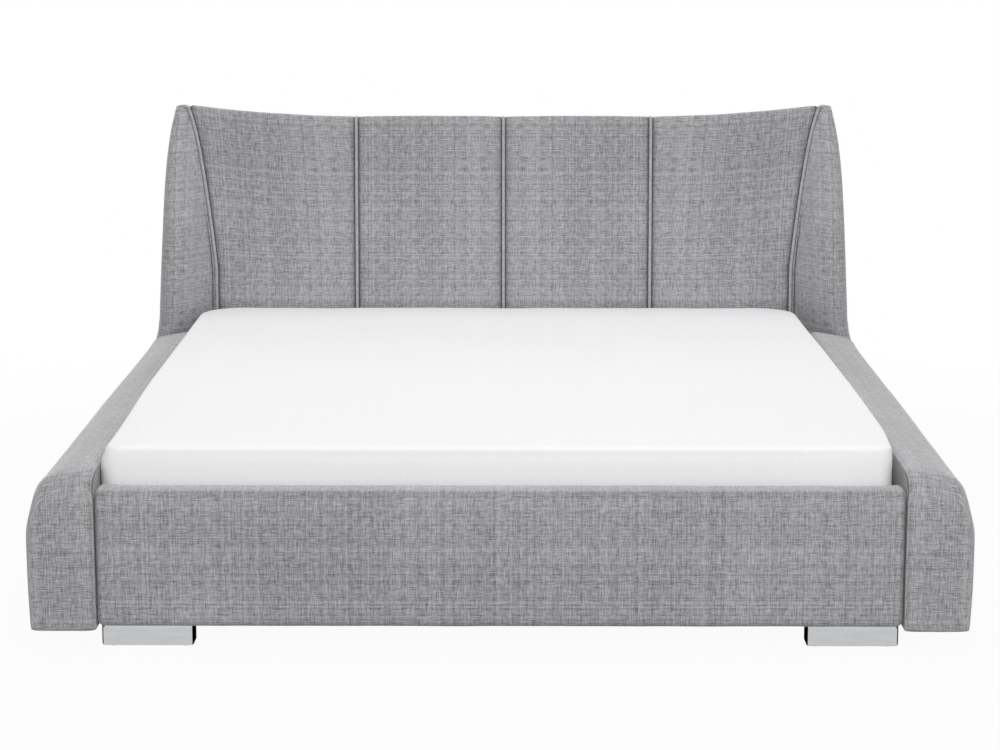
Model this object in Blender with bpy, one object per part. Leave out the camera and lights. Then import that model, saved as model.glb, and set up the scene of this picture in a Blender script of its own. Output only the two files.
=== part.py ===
"""Waterbed with an upholstered frame: channelled headboard with wings, broad padded side rails,
footboard on two metal feet, and a soft-sided water mattress on its own pedestal.

Metres, +Z up, +Y towards the headboard. Every piece is modelled with x = 0 on the bed's centre
line and y = 0 on the front plane of the footboard, and hangs on one empty that puts the origin
on the floor under the middle of the bed.
"""

import math

import bmesh
import bpy
from mathutils import Vector

# Mattress and the well that it lies in
MATTRESS_WIDTH = 1.800
MATTRESS_LENGTH = 2.000
MATTRESS_TOP = 0.457
MATTRESS_HEIGHT = 0.2345
MATTRESS_FRONT_RADIUS = 0.050
MATTRESS_BACK_RADIUS = 0.120
MATTRESS_EDGE_RADIUS = 0.034
MATTRESS_CROWN = 0.003
SIDE_GAP = 0.008
FOOT_GAP = 0.005

# Footboard, whose top stands this far below the mattress's, and side rails
FOOTBOARD_DEPTH = 0.075
FOOTBOARD_DROP = 0.085
FOOTBOARD_BOTTOM = 0.056
FOOTBOARD_ROUND = 0.014
FOOTBOARD_END_ROUND = 0.007
FOOTBOARD_END_GAP = 0.004
FOOTBOARD_PADDING = 0.026
RAIL_WIDTH = 0.153
RAIL_DROP = 0.047
RAIL_BOTTOM_DROP = 0.011
RAIL_NOSE = 0.060
RAIL_CORNER = 0.015
RAIL_TOP_PADDING = 0.050
BOARD_THICKNESS = 0.020
BOARD_FOOT_CLEARANCE = 0.010
BOARD_PADDING = 0.004

# Headboard: how far it rises above the mattress, and its pads
HEADBOARD_RISE = 0.5655
HEADBOARD_TIP_RISE = 0.0355
HEADBOARD_DEPTH = 0.145
HEAD_TOP_ROUND = 0.014
HEAD_TOP_FALL = 0.008
PANEL_FOOT_DROP = 0.097
PANEL_SET_BACK = 0.016
PANEL_PAD = 0.042
PANEL_CROWN = 0.008
PANEL_TOP_CROWN = 0.0045
PANEL_SHOULDER = 0.014

# Headboard woodwork
CORE_DROP = 0.0245
CORE_INSET = 0.0395
CORE_RAIL = 0.080
CORE_STILE = 0.045
FACE_BOARD = 0.016
BACK_COVER = 0.009

# Seams and piping
CORD_RADIUS = 0.0045
CORD_SINK = 0.0005
SEAM_HALF = 0.0012
PIPE_INSET = 0.031
PIPE_STRAIGHT = 0.103
PIPE_SWEEP = 0.066
PIPE_FLICK = 0.015

# Wings: their reach in front of the headboard, and how their outline draws in
WING_REACH = 0.160
WING_HORN_DROP = 0.0055
WING_TOP_DROP = 0.006
WING_CREASE = 0.011
WING_TUCK = 0.0356
WING_TUCK_BELOW = 0.130
WING_TUCK_ABOVE = 0.040
WING_TAPER_ABOVE = 0.020
WING_TAPER = 0.0159
WING_CURL = 0.0255
WING_TIP_PROUD = 0.006
WING_BACK_ROUND = 0.010
WING_BOARD_INSET = 0.093
WING_BOARD_DEPTH = 0.110
WING_BOARD_BACK = 0.028
WING_BOARD_DROP = 0.200

# Feet, glides and brackets
FOOT_WIDTH = 0.208
FOOT_DEPTH = 0.055
FOOT_SET_BACK = 0.025
FOOT_END_INSET = 0.008
FOOT_LIFT = 0.0045
FOOT_ROUND = 0.007
REAR_FOOT_INSET = 0.0055
REAR_FOOT_BACK = 0.030
GLIDE_RADIUS = 0.009
GLIDE_INSET = 0.022
GLIDE_CHAMFER = 0.0015
BRACKET_LEG = 0.060
BRACKET_THICKNESS = 0.003
BRACKET_DROP = 0.020
BRACKET_HEIGHT = 0.080
PLATE_LENGTH = 0.200
PLATE_WIDTH = 0.040
PLATE_INSET = 0.030

# Pedestal and deck
DECK_THICKNESS = 0.018
DECK_HEAD_GAP = 0.010
PEDESTAL_SIDE_INSET = 0.300
PEDESTAL_INSET = 0.270
PEDESTAL_BOARD = 0.018

# Water mattress, its levels counted down from the underside of the padded top cover
COVER_SKIRT = 0.010
COVER_PADDING = 0.029
COVER_FLOOR = 0.003
ZIP_LIFT = 0.0778
ZIP_BAND_HEIGHT = 0.012
ZIP_BAND_DEPTH = 0.007
SLIDER_LENGTH = 0.030
SLIDER_END_GAP = 0.010
SLIDER_RIDGE = 0.0015
BOLSTER_BASE = 0.150
BOLSTER_CREST = 0.080
LINER = 0.001
LINER_LAP = 0.040
HEATER_THICKNESS = 0.0017
HEATER_TAB_WIDTH = 0.040
HEATER_TAB_LENGTH = 0.180
DIVIDER_BASE_HALF = 0.030
DIVIDER_CREST_HALF = 0.015
DIVIDER_DROP = 0.022
BLADDER_DROP = 0.014
BLADDER_CROWN = 0.006
BLADDER_ROUND = 0.022
BLADDER_SLACK = 0.003
WELL_RADIUS = 0.034
WELL_DROP = 0.030
NECK_RADIUS = 0.016
NECK_DROP = 0.016
NECK_FROM_FOOT = 0.180
CAP_RADIUS = 0.024
CAP_DROP = 0.010
CAP_LOBE = 0.001
CAP_CHAMFER = 0.0015

# Gap between pieces that touch, the running clearance of a cap on its neck, and how far a
# cutting shape runs past what it cuts
TOUCH = 0.0003
CAP_CLEARANCE = 0.0005
OVERRUN = 0.050

# Counts
CORNER_STEPS = 5
ARC_STEPS = 4
CORD_SIDES = 8
CAP_LOBES = 12
CAP_POINTS_PER_LOBE = 4
GLIDE_SIDES = 24

# Shares of a length: the headboard's lean, its channels and level middle, and the heater pads
LEAN_SHARE = 0.07
CHANNEL_SHARE = 0.51
LEVEL_SHARE = 0.518
HEATER_WIDTH_SHARE = 0.333
HEATER_LENGTH_SHARE = 0.5
WING_RIDGE_SHARE = 0.72
WING_FACE_SHARE = 0.70
WING_SIDE_SHARE = 0.40
WING_SWEEP_POWER = 1.35
# Outline of a side rail seen from the foot end: shares of its width, from the mattress
# outwards, and of its height, from the floor side up
RAIL_OUTLINE_SHARES = (
    (0.020, 0.000),
    (0.000, 0.020),
    (0.000, 0.965),
    (0.025, 0.990),
    (0.090, 1.000),
    (0.420, 0.978),
    (0.700, 0.955),
    (0.800, 0.932),
    (0.860, 0.900),
    (0.908, 0.840),
    (0.950, 0.765),
    (0.988, 0.690),
    (1.000, 0.630),
    (1.000, 0.320),
    (0.985, 0.150),
    (0.960, 0.040),
    (0.910, 0.000),
)
# Heights of the rows of a headboard pad's front, as shares from its foot to its top edge.
# Above the squeeze share its rows close up towards the top of the woodwork behind it.
PAD_ROW_SHARES = (0.0, 0.14, 0.30, 0.46, 0.60, 0.72, 0.82, 0.90, 0.96, 1.0)
PAD_SQUEEZE_SHARE = 0.80
# Columns of a pad between its two shoulders, and the crown that each has
PAD_COLUMN_SHARES = (0.10, 0.28, 0.50, 0.72, 0.90)
PAD_CROWN_SHARES = (0.80, 0.96, 1.00, 0.96, 0.80)
PAD_SHOULDER_CROWN_SHARE = 0.40
CROWN_RING_SHARES = (0.12, 0.45)
CROWN_RISE_SHARES = (0.5, 1.0)

HALF_MATTRESS = MATTRESS_WIDTH / 2
HALF_WELL = HALF_MATTRESS + SIDE_GAP
HALF_BED = HALF_WELL + RAIL_WIDTH
MATTRESS_FRONT = FOOTBOARD_DEPTH + FOOT_GAP
MATTRESS_BACK = MATTRESS_FRONT + MATTRESS_LENGTH
BED_LENGTH = MATTRESS_BACK + HEADBOARD_DEPTH
RAIL_END = MATTRESS_BACK - WING_REACH

FOOTBOARD_TOP = MATTRESS_TOP - FOOTBOARD_DROP
RAIL_TOP = MATTRESS_TOP - RAIL_DROP
RAIL_BOTTOM = FOOTBOARD_BOTTOM - RAIL_BOTTOM_DROP
DECK_TOP = MATTRESS_TOP - MATTRESS_HEIGHT - TOUCH
PANEL_FOOT = MATTRESS_TOP - PANEL_FOOT_DROP
HEAD_TOP_MIDDLE = MATTRESS_TOP + HEADBOARD_RISE
HEAD_TOP_TIP = HEAD_TOP_MIDDLE + HEADBOARD_TIP_RISE
HEAD_TOP_EDGE = HEAD_TOP_TIP - HEAD_TOP_ROUND
CORE_TOP = HEAD_TOP_MIDDLE - CORE_DROP
CORE_HALF = HALF_MATTRESS - CORE_INSET
WING_HORN_TOP = HEAD_TOP_TIP - WING_HORN_DROP
WING_BOARD_TOP = CORE_TOP - WING_BOARD_DROP
PIPE_FOOT = HALF_MATTRESS - PIPE_INSET
PIPE_SWEEP_FROM = MATTRESS_TOP + PIPE_STRAIGHT
CHANNEL_PITCH = CHANNEL_SHARE * PIPE_FOOT
HEAD_LEVEL_HALF = LEVEL_SHARE * PIPE_FOOT

CEILING = MATTRESS_TOP - COVER_PADDING
ZIP_LEVEL = DECK_TOP + ZIP_LIFT
COVER_FLOOR_TOP = DECK_TOP + TOUCH + COVER_FLOOR
LINER_FLOOR = COVER_FLOOR_TOP + TOUCH + HEATER_THICKNESS + TOUCH
BOLSTER_TOP = CEILING - 2 * LINER
RIM_TOP = BOLSTER_TOP + TOUCH + LINER
DIVIDER_TOP = CEILING - DIVIDER_DROP
BLADDER_TOP = CEILING - BLADDER_DROP
WELL_FLOOR = CEILING - WELL_DROP
NECK_TOP = CEILING - NECK_DROP
CAP_TOP = CEILING - CAP_DROP


# Finishes
def finish(name, colour, roughness, metallic=0.0):
    """A plain Principled material."""
    made = bpy.data.materials.new(name)
    made.use_nodes = True
    shader = made.node_tree.nodes["Principled BSDF"]
    shader.inputs["Base Color"].default_value = (*colour, 1.0)
    shader.inputs["Roughness"].default_value = roughness
    shader.inputs["Metallic"].default_value = metallic
    return made


def clear_scene():
    for old in list(bpy.data.objects):
        bpy.data.objects.remove(old, do_unlink=True)


clear_scene()
GREY_LINEN = finish("grey_linen", (0.32, 0.32, 0.33), 0.95)
GREY_PIPING = finish("grey_piping", (0.36, 0.36, 0.37), 0.90)
WHITE_QUILT = finish("white_quilt", (0.92, 0.92, 0.93), 0.85)
WHITE_BASE_CLOTH = finish("white_base_cloth", (0.80, 0.80, 0.82), 0.90)
POLISHED_STEEL = finish("polished_steel", (0.80, 0.80, 0.82), 0.12, 1.0)
ZINC_STEEL = finish("zinc_steel", (0.60, 0.61, 0.63), 0.35, 1.0)
CHIPBOARD = finish("chipboard", (0.62, 0.50, 0.34), 0.75)
PLYWOOD = finish("plywood", (0.70, 0.56, 0.38), 0.65)
BLACK_LAMINATE = finish("black_laminate", (0.03, 0.03, 0.03), 0.45)
BOLSTER_FOAM = finish("bolster_foam", (0.80, 0.84, 0.88), 0.95)
BLUE_VINYL = finish("blue_vinyl", (0.20, 0.34, 0.52), 0.35)
CLEAR_LINER = finish("liner_vinyl", (0.55, 0.60, 0.66), 0.40)
GREY_HEATER = finish("heater_vinyl", (0.25, 0.26, 0.28), 0.50)
WHITE_CAP = finish("cap_plastic", (0.88, 0.88, 0.88), 0.35)
BLACK_PAD = finish("glide_plastic", (0.05, 0.05, 0.05), 0.50)


# Building helpers
def empty(name, place, parent=None):
    """An axis or origin that pieces hang on."""
    made = bpy.data.objects.new(name, None)
    made.location = place
    made.parent = parent
    bpy.context.scene.collection.objects.link(made)
    return made


bed = empty("bed_origin", (0.0, -BED_LENGTH / 2, 0.0))


def piece(name, points, faces, material, parent=None, smooth_angle=35):
    """A named object from points and faces, with its faces turned outwards."""
    mesh = bpy.data.meshes.new(name)
    shape = bmesh.new()
    corners = [shape.verts.new(point) for point in points]
    for face in faces:
        shape.faces.new([corners[index] for index in face])
    bmesh.ops.recalc_face_normals(shape, faces=shape.faces)
    shape.to_mesh(mesh)
    shape.free()
    if material is not None:
        mesh.materials.append(material)
    mesh.shade_smooth()
    mesh.set_sharp_from_angle(angle=math.radians(smooth_angle))
    made = bpy.data.objects.new(name, mesh)
    made.parent = parent or bed
    bpy.context.scene.collection.objects.link(made)
    return made


def loft(name, loops, material, side=1, parent=None, smooth_angle=35):
    """A closed solid through loops of as many points, capped at both ends; side -1 mirrors it."""
    count = len(loops[0])
    points = [(side * x, y, z) for loop in loops for x, y, z in loop]
    faces = [list(range(count)), list(range(len(points) - count, len(points)))]
    for row in range(len(loops) - 1):
        for column in range(count):
            ahead = (column + 1) % count
            low = row * count
            high = low + count
            faces.append([low + column, low + ahead, high + ahead, high + column])
    return piece(name, points, faces, material, parent, smooth_angle)


def box(name, low, high, material, parent=None):
    """A box between two corners."""
    floor = [
        (low[0], low[1]),
        (high[0], low[1]),
        (high[0], high[1]),
        (low[0], high[1]),
    ]
    loops = [[(x, y, z) for x, y in floor] for z in (low[2], high[2])]
    return loft(name, loops, material, parent=parent)


def across(name, outline, low_x, high_x, material):
    """An outline in Y and Z, drawn out along X."""
    loops = [[(x, y, z) for y, z in outline] for x in (low_x, high_x)]
    return loft(name, loops, material)


def edge_arc(radius, steps=ARC_STEPS):
    """(inset, drop) pairs round a quarter arc, from the side face to the flat face."""
    turns = [math.pi / 2 * step / steps for step in range(steps + 1)]
    return [(radius * (1 - math.cos(a)), radius * (1 - math.sin(a))) for a in turns]


def boolean(made, cutter, operation="DIFFERENCE"):
    cutter.hide_render = True
    cutter.display_type = "WIRE"
    modifier = made.modifiers.new(operation.lower(), "BOOLEAN")
    modifier.operation = operation
    modifier.object = cutter
    modifier.solver = "EXACT"


def bevel(made, width, segments=2):
    modifier = made.modifiers.new("rounding", "BEVEL")
    modifier.width = width
    modifier.segments = segments
    modifier.limit_method = "ANGLE"


def ring(x_low, x_high, y_low, y_high, front_radius, back_radius, z):
    """A rounded rectangle at height z, with its own radius at the foot and at the head end."""
    corners = (
        (x_high, y_low, -1, 1, front_radius, -math.pi / 2),
        (x_high, y_high, -1, -1, back_radius, 0.0),
        (x_low, y_high, 1, -1, back_radius, math.pi / 2),
        (x_low, y_low, 1, 1, front_radius, math.pi),
    )
    points = []
    for x, y, inward_x, inward_y, radius, start in corners:
        centre_x = x + inward_x * radius
        centre_y = y + inward_y * radius
        for step in range(CORNER_STEPS + 1):
            angle = start + math.pi / 2 * step / CORNER_STEPS
            place = (centre_x + radius * math.cos(angle), centre_y + radius * math.sin(angle), z)
            points.append(place)
    return points


def mattress_ring(inset, z):
    """The mattress's plan outline, drawn in by inset."""
    return ring(
        -HALF_MATTRESS + inset,
        HALF_MATTRESS - inset,
        MATTRESS_FRONT + inset,
        MATTRESS_BACK - inset,
        max(MATTRESS_FRONT_RADIUS - inset, MATTRESS_EDGE_RADIUS / 2),
        max(MATTRESS_BACK_RADIUS - inset, MATTRESS_EDGE_RADIUS / 2),
        z,
    )


def smooth_step(value, low, high):
    share = min(max((value - low) / (high - low), 0.0), 1.0)
    return share * share * (3 - 2 * share)


# Headboard geometry
def panel_y(z):
    """Front plane of the seams: it leans back with height."""
    return MATTRESS_BACK + PANEL_SET_BACK + LEAN_SHARE * (z - MATTRESS_TOP)


def core_y(z):
    """Back of the pads, where the woodwork starts."""
    return panel_y(z) + PANEL_PAD


def top_z(x):
    """Top edge of the headboard: level in the middle, rising to the wing tips."""
    reach = PIPE_FOOT + PIPE_SWEEP + PIPE_FLICK - HEAD_LEVEL_HALF
    share = min(max((abs(x) - HEAD_LEVEL_HALF) / reach, 0.0), 1.0)
    return HEAD_TOP_MIDDLE + HEADBOARD_TIP_RISE * share**2.1


def sweep_share(z):
    return max((z - PIPE_SWEEP_FROM) / (HEAD_TOP_TIP - PIPE_SWEEP_FROM), 0.0)


def seam_x(z):
    """Curved seam between the outer pad and the wing."""
    share = sweep_share(z)
    return PIPE_FOOT + PIPE_SWEEP * share**1.2 + PIPE_FLICK * share**8


def seam_stretch(z):
    """How much wider a level cut through the slanting outer seam is than a square one."""
    step = CORD_RADIUS
    slope = (seam_x(z + step) - seam_x(z - step)) / (2 * step)
    return math.sqrt(1 + slope * slope)


def groove():
    """(out, in) of the seam groove from its root to its lip, round the cord."""
    reach = CORD_RADIUS + TOUCH / math.cos(math.pi / CORD_SIDES)
    diagonal = reach * math.sqrt(0.5)
    return ((SEAM_HALF, CORD_SINK + reach), (diagonal, CORD_SINK + diagonal), (reach, CORD_SINK))


def pad_rows(top):
    """Rows of a pad, up its front, over its top edge and back, each in Y and Z: a point of the
    outer line, the direction inwards there, and the point of the inner line behind it."""
    edge = top - HEAD_TOP_ROUND
    squeeze_from = PANEL_FOOT + PAD_SQUEEZE_SHARE * (edge - PANEL_FOOT)
    squeeze = (CORE_TOP - HEAD_TOP_ROUND - squeeze_from) / (edge - squeeze_from)
    rows = []
    for share in PAD_ROW_SHARES:
        z = PANEL_FOOT + share * (edge - PANEL_FOOT)
        inner_z = min(z, squeeze_from + squeeze * (z - squeeze_from))
        rows.append(((panel_y(z), z), (1.0, 0.0), (core_y(inner_z), inner_z)))
    shelf = CORE_TOP + TOUCH
    corner = core_y(shelf)
    half_round = HEAD_TOP_ROUND / 2
    inner_line = (
        (core_y(CORE_TOP - half_round), CORE_TOP - half_round),
        (corner, shelf),
        (corner + half_round, shelf),
    )
    for step, inner in enumerate(inner_line, start=1):
        turn = math.pi / 2 * step / len(inner_line)
        y = panel_y(edge) + HEAD_TOP_ROUND * (1 - math.cos(turn))
        z = edge + HEAD_TOP_ROUND * math.sin(turn)
        rows.append(((y, z), (math.cos(turn), -math.sin(turn)), inner))
    down = (0.0, -1.0)
    middle = (corner + BED_LENGTH) / 2
    rows.append(((middle, top - HEAD_TOP_FALL / 2), down, (middle, shelf)))
    rows.append(((BED_LENGTH, top - HEAD_TOP_FALL), down, (BED_LENGTH, shelf)))
    return rows


def pad_point(row, x, depth):
    """A point of a pad row at x, depth in from its outer line."""
    (y, z), (inward_y, inward_z), _ = row
    return (x, y + inward_y * depth, z + inward_z * depth)


def seam_level(z):
    """Height at which the outer seam is read: it ends where the top edge starts to round."""
    return min(z, HEAD_TOP_EDGE)


def far_point(row, curved, straight, out, depth):
    """A point beside a pad's far seam, out from it and depth in."""
    _, y, z = pad_point(row, 0.0, depth)
    if not curved:
        return (straight - out, y, z)
    level = seam_level(z)
    return (seam_x(level) - out * seam_stretch(level), y, z)


def headboard_pad(name, near, far, curved, side):
    """A channel pad between two seams; the far seam of an outer pad is the curved one."""
    far_top = seam_x(seam_level(HEAD_TOP_TIP)) if curved else far
    near_rows = pad_rows(top_z(near))
    far_rows = pad_rows(HEAD_TOP_TIP if curved else top_z(far))
    column_rows = []
    for share in PAD_COLUMN_SHARES:
        column_rows.append(pad_rows(top_z(near + share * (far_top - near))))
    loops = []
    for index, near_row in enumerate(near_rows):
        far_row = far_rows[index]
        rise = PANEL_CROWN if index < len(PAD_ROW_SHARES) - 1 else PANEL_TOP_CROWN
        shoulder = -rise * PAD_SHOULDER_CROWN_SHARE
        loop = [(near + SEAM_HALF, *near_row[2])]
        for out, depth in groove():
            loop.append(pad_point(near_row, near + out, depth))
        loop.append(pad_point(near_row, near + PANEL_SHOULDER, shoulder))
        far_x = far_point(far_row, curved, far, 0.0, 0.0)[0]
        for rows, share, crown in zip(column_rows, PAD_COLUMN_SHARES, PAD_CROWN_SHARES):
            x = near + share * (far_x - near)
            loop.append(pad_point(rows[index], x, -rise * crown))
        loop.append(far_point(far_row, curved, far, PANEL_SHOULDER, shoulder))
        for out, depth in reversed(groove()):
            loop.append(far_point(far_row, curved, far, out, depth))
        back_y, back_z = far_row[2]
        back_x = seam_x(seam_level(back_z)) if curved else far
        loop.append((back_x - SEAM_HALF, back_y, back_z))
        loops.append(loop)
    return loft(name, loops, GREY_LINEN, side)


def wing_territory(name, side):
    """What an outer pad gives up to the wing behind it."""
    low = PANEL_FOOT - OVERRUN
    high = HEAD_TOP_TIP + OVERRUN
    outline = (
        (core_y(low) + TOUCH, low),
        (BED_LENGTH + OVERRUN, low),
        (BED_LENGTH + OVERRUN, high),
        (core_y(high) + TOUCH, high),
    )
    inner, outer = CORE_HALF, HALF_BED + OVERRUN
    loops = [[(x, y, z) for y, z in outline] for x in (inner, outer)]
    return loft(name, loops, None, side)


def cord_angles():
    return [2 * math.pi * step / CORD_SIDES for step in range(CORD_SIDES)]


def cord_ring(row, seam, stretch=1.0):
    """Section of a cord that lies in a seam groove, in the plane of a pad row."""
    ring_points = []
    for angle in cord_angles():
        x = seam + CORD_RADIUS * stretch * math.cos(angle)
        depth = CORD_SINK + CORD_RADIUS * math.sin(angle)
        ring_points.append(pad_point(row, x, depth))
    return ring_points


def free_rings(path):
    """Sections of a cord along a free run that starts straight up."""
    places = [Vector(place) for place in path]
    ways = [(b - a).normalized() for a, b in zip(places, places[1:])]
    across_way, inward = Vector((1.0, 0.0, 0.0)), Vector((0.0, 1.0, 0.0))
    facing = Vector((0.0, 0.0, 1.0))
    rings = []
    for index, place in enumerate(places[1:], start=1):
        ahead = ways[min(index, len(ways) - 1)]
        turned_to = (ways[index - 1] + ahead).normalized()
        swing = facing.rotation_difference(turned_to)
        across_way, inward, facing = swing @ across_way, swing @ inward, turned_to
        ring_points = []
        for angle in cord_angles():
            spot = across_way * math.cos(angle) + inward * math.sin(angle)
            ring_points.append(tuple(place + CORD_RADIUS * spot))
        rings.append(ring_points)
    return rings


def straight_piping(name, x):
    loft(name, [cord_ring(row, x) for row in pad_rows(top_z(x))], GREY_PIPING, smooth_angle=80)


def curved_piping(name, side):
    """Up the outer seam and over the wing's tip to the back."""
    rings = []
    for row in pad_rows(HEAD_TOP_TIP)[: len(PAD_ROW_SHARES)]:
        z = row[0][1]
        rings.append(cord_ring(row, seam_x(z), seam_stretch(z)))
    x = seam_x(HEAD_TOP_EDGE)
    y = panel_y(HEAD_TOP_EDGE) + CORD_SINK
    crest = WING_HORN_TOP + CORD_RADIUS + TOUCH
    tip = wing_outer(WING_HORN_TOP) - CORD_RADIUS
    path = (
        (x, y, HEAD_TOP_EDGE),
        (x + CORD_RADIUS / 4, y + TOUCH, WING_HORN_TOP - CORD_RADIUS / 2),
        (x + CORD_RADIUS, y + TOUCH, crest - CORD_RADIUS / 4),
        (x + 2 * CORD_RADIUS, y + CORD_RADIUS, crest),
        ((x + tip) / 2 + CORD_RADIUS, y + 3 * CORD_RADIUS, crest),
        (tip - CORD_RADIUS / 2, y + 6 * CORD_RADIUS, crest),
        (tip, y + 9 * CORD_RADIUS, crest),
        (tip, BED_LENGTH, crest),
    )
    loft(name, rings + free_rings(path), GREY_PIPING, side, smooth_angle=80)


def wing_outer(z):
    """Outline of the wing seen from the foot end."""
    tuck = WING_TUCK * smooth_step(z, RAIL_TOP - WING_TUCK_BELOW, RAIL_TOP + WING_TUCK_ABOVE)
    taper_from = RAIL_TOP + WING_TAPER_ABOVE
    rise = max((z - taper_from) / (HEAD_TOP_TIP - taper_from), 0.0)
    return HALF_BED - tuck - WING_TAPER * rise - WING_CURL * rise**5.5


def wing_front(z):
    """Foremost line of the wing: upright beside the rail, then sweeping back to its tip."""
    low = RAIL_END + TOUCH
    high = panel_y(WING_HORN_TOP) - WING_TIP_PROUD
    rise = max((z - RAIL_TOP) / (WING_HORN_TOP - RAIL_TOP), 0.0)
    return low + (high - low) * rise**WING_SWEEP_POWER


def wing_section(z, inset=0.0):
    """Level cut through a wing, from its inner back corner round the front to the back. The
    corners behind the pad are kept below the headboard's top edge."""
    seam = seam_x(seam_level(z))
    stretch = seam_stretch(seam_level(z))
    seam_y = panel_y(z)
    outer = wing_outer(z) - inset
    back_y = core_y(z) + 2 * TOUCH
    inner = CORE_HALF + TOUCH
    limit = top_z(inner) - WING_TOP_DROP
    low_z = z - (WING_HORN_TOP - limit) * smooth_step(z, WING_BOARD_TOP, WING_HORN_TOP)
    points = [(inner, back_y, low_z), (seam + SEAM_HALF, back_y, z)]
    for out, depth in groove():
        points.append((seam + out * stretch + inset, seam_y + depth, z))
    crease_x = seam + WING_CREASE * stretch + inset
    crease_y = seam_y - WING_TIP_PROUD / 2 + inset
    front = min(wing_front(z), crease_y - WING_TIP_PROUD / 2) + inset
    ridge = crease_x + WING_RIDGE_SHARE * (outer - crease_x)
    side_y = front + WING_SIDE_SHARE * (outer - crease_x)
    for step in range(ARC_STEPS + 1):
        share = step / ARC_STEPS
        bow = 2 * share * (1 - share) * WING_FACE_SHARE + share**2
        x = crease_x + bow * (ridge - crease_x)
        y = front + (crease_y - front) * (1 - share) ** 2
        points.append((x, y, z))
    for step in range(1, ARC_STEPS + 1):
        angle = math.pi / 2 * step / ARC_STEPS
        x = ridge + (outer - ridge) * math.sin(angle)
        points.append((x, side_y + (front - side_y) * math.cos(angle), z))
    points.append((outer, BED_LENGTH - WING_BACK_ROUND - inset, z))
    points.append((outer - WING_BACK_ROUND, BED_LENGTH - inset, z))
    points.append((inner, BED_LENGTH - inset, low_z))
    return points


def wing(name, side):
    heights = [RAIL_BOTTOM, RAIL_TOP - WING_TUCK_BELOW]
    reach = HEAD_TOP_EDGE - PANEL_FOOT
    heights += [PANEL_FOOT + share * reach for share in PAD_ROW_SHARES[:-1]]
    loops = [wing_section(z) for z in heights]
    for inset, drop in edge_arc(WING_HORN_TOP - HEAD_TOP_EDGE):
        loops.append(wing_section(WING_HORN_TOP - drop, inset))
    made = loft(name, loops, GREY_LINEN, side)
    low, high = wing_board_box(TOUCH)
    low = (low[0], low[1], -OVERRUN)
    slot = mirrored_box(name + "_slot", low, high, None, side)
    boolean(made, slot)
    return made


def wing_board_box(margin):
    """Corners of the board inside a wing, grown by margin."""
    outer = HALF_BED - WING_BOARD_INSET
    back = BED_LENGTH - WING_BOARD_BACK
    low = (
        outer - BOARD_THICKNESS - margin,
        back - WING_BOARD_DEPTH - margin,
        RAIL_BOTTOM + BOARD_FOOT_CLEARANCE,
    )
    high = (outer + margin, back + margin, WING_BOARD_TOP + margin)
    return low, high


def mirrored_box(name, low, high, material, side):
    if side > 0:
        return box(name, low, high, material)
    return box(name, (-high[0], low[1], low[2]), (-low[0], high[1], high[2]), material)


def headboard():
    for side, word in ((-1, "left"), (1, "right")):
        headboard_pad(f"headboard_pad_{word}_inner", 0.0, CHANNEL_PITCH, False, side)
        outer = headboard_pad(
            f"headboard_pad_{word}_outer", CHANNEL_PITCH, PIPE_FOOT, True, side
        )
        boolean(outer, wing_territory(f"pad_{word}_cutter", side))
        wing(f"headboard_wing_{word}", side)
        mirrored_box(f"wing_board_{word}", *wing_board_box(0.0), PLYWOOD, side)
        straight_piping(f"piping_{word}", side * CHANNEL_PITCH)
        curved_piping(f"piping_{word}_curved", side)
    straight_piping("piping_centre", 0.0)


def woodwork_outline(low, high):
    """YZ outline of framing between the face board and the back cover."""
    front = TOUCH + FACE_BOARD + TOUCH
    back = BED_LENGTH - BACK_COVER - TOUCH
    return (
        (core_y(low) + front, low),
        (back, low),
        (back, high),
        (core_y(high) + front, high),
    )


def headboard_core():
    low = FOOTBOARD_BOTTOM
    face = (
        (core_y(low) + TOUCH, low),
        (core_y(low) + TOUCH + FACE_BOARD, low),
        (core_y(CORE_TOP) + TOUCH + FACE_BOARD, CORE_TOP),
        (core_y(CORE_TOP) + TOUCH, CORE_TOP),
    )
    half = CORE_HALF - TOUCH
    across("headboard_face_board", face, -half, half, PLYWOOD)
    bottom_top = low + CORE_RAIL
    across("headboard_bottom_rail", woodwork_outline(low, bottom_top), -half, half, CHIPBOARD)
    top_low = CORE_TOP - CORE_RAIL
    across("headboard_top_rail", woodwork_outline(top_low, CORE_TOP), -half, half, CHIPBOARD)
    stile = woodwork_outline(bottom_top + TOUCH, top_low - TOUCH)
    across("headboard_stile_left", stile, -half, -half + CORE_STILE, CHIPBOARD)
    across("headboard_stile_right", stile, half - CORE_STILE, half, CHIPBOARD)
    box(
        "headboard_back_cover",
        (-half, BED_LENGTH - BACK_COVER, low),
        (half, BED_LENGTH, CORE_TOP),
        GREY_LINEN,
    )


# Side rails and footboard
def nose(distance, radius):
    """How far a face has drawn in at a distance from the rounded end."""
    if distance >= radius:
        return 0.0
    return radius - math.sqrt(radius**2 - (radius - distance) ** 2)


def rail_section(y):
    """Outline of a rail at y, with its foot end rolled over."""
    height = RAIL_TOP - RAIL_BOTTOM
    top_drop = nose(y, RAIL_NOSE)
    side_drop = nose(y, RAIL_CORNER)
    points = []
    for x_share, z_share in RAIL_OUTLINE_SHARES:
        upper = max(2 * z_share - 1, 0.0)
        lower = max(1 - 2 * z_share, 0.0)
        x = HALF_WELL + x_share * (RAIL_WIDTH - side_drop)
        z = RAIL_BOTTOM + z_share * height - upper * top_drop + lower * side_drop
        points.append((x, y, z))
    return points


def rail_slot_box(margin):
    """Corners of the board inside a rail cover, grown by margin."""
    inner = HALF_WELL + BOARD_PADDING
    low = (inner - margin, FOOTBOARD_PADDING - margin, RAIL_BOTTOM + BOARD_FOOT_CLEARANCE)
    high = (inner + BOARD_THICKNESS + margin, RAIL_END - TOUCH, RAIL_TOP - RAIL_TOP_PADDING + margin)
    return low, high


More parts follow.
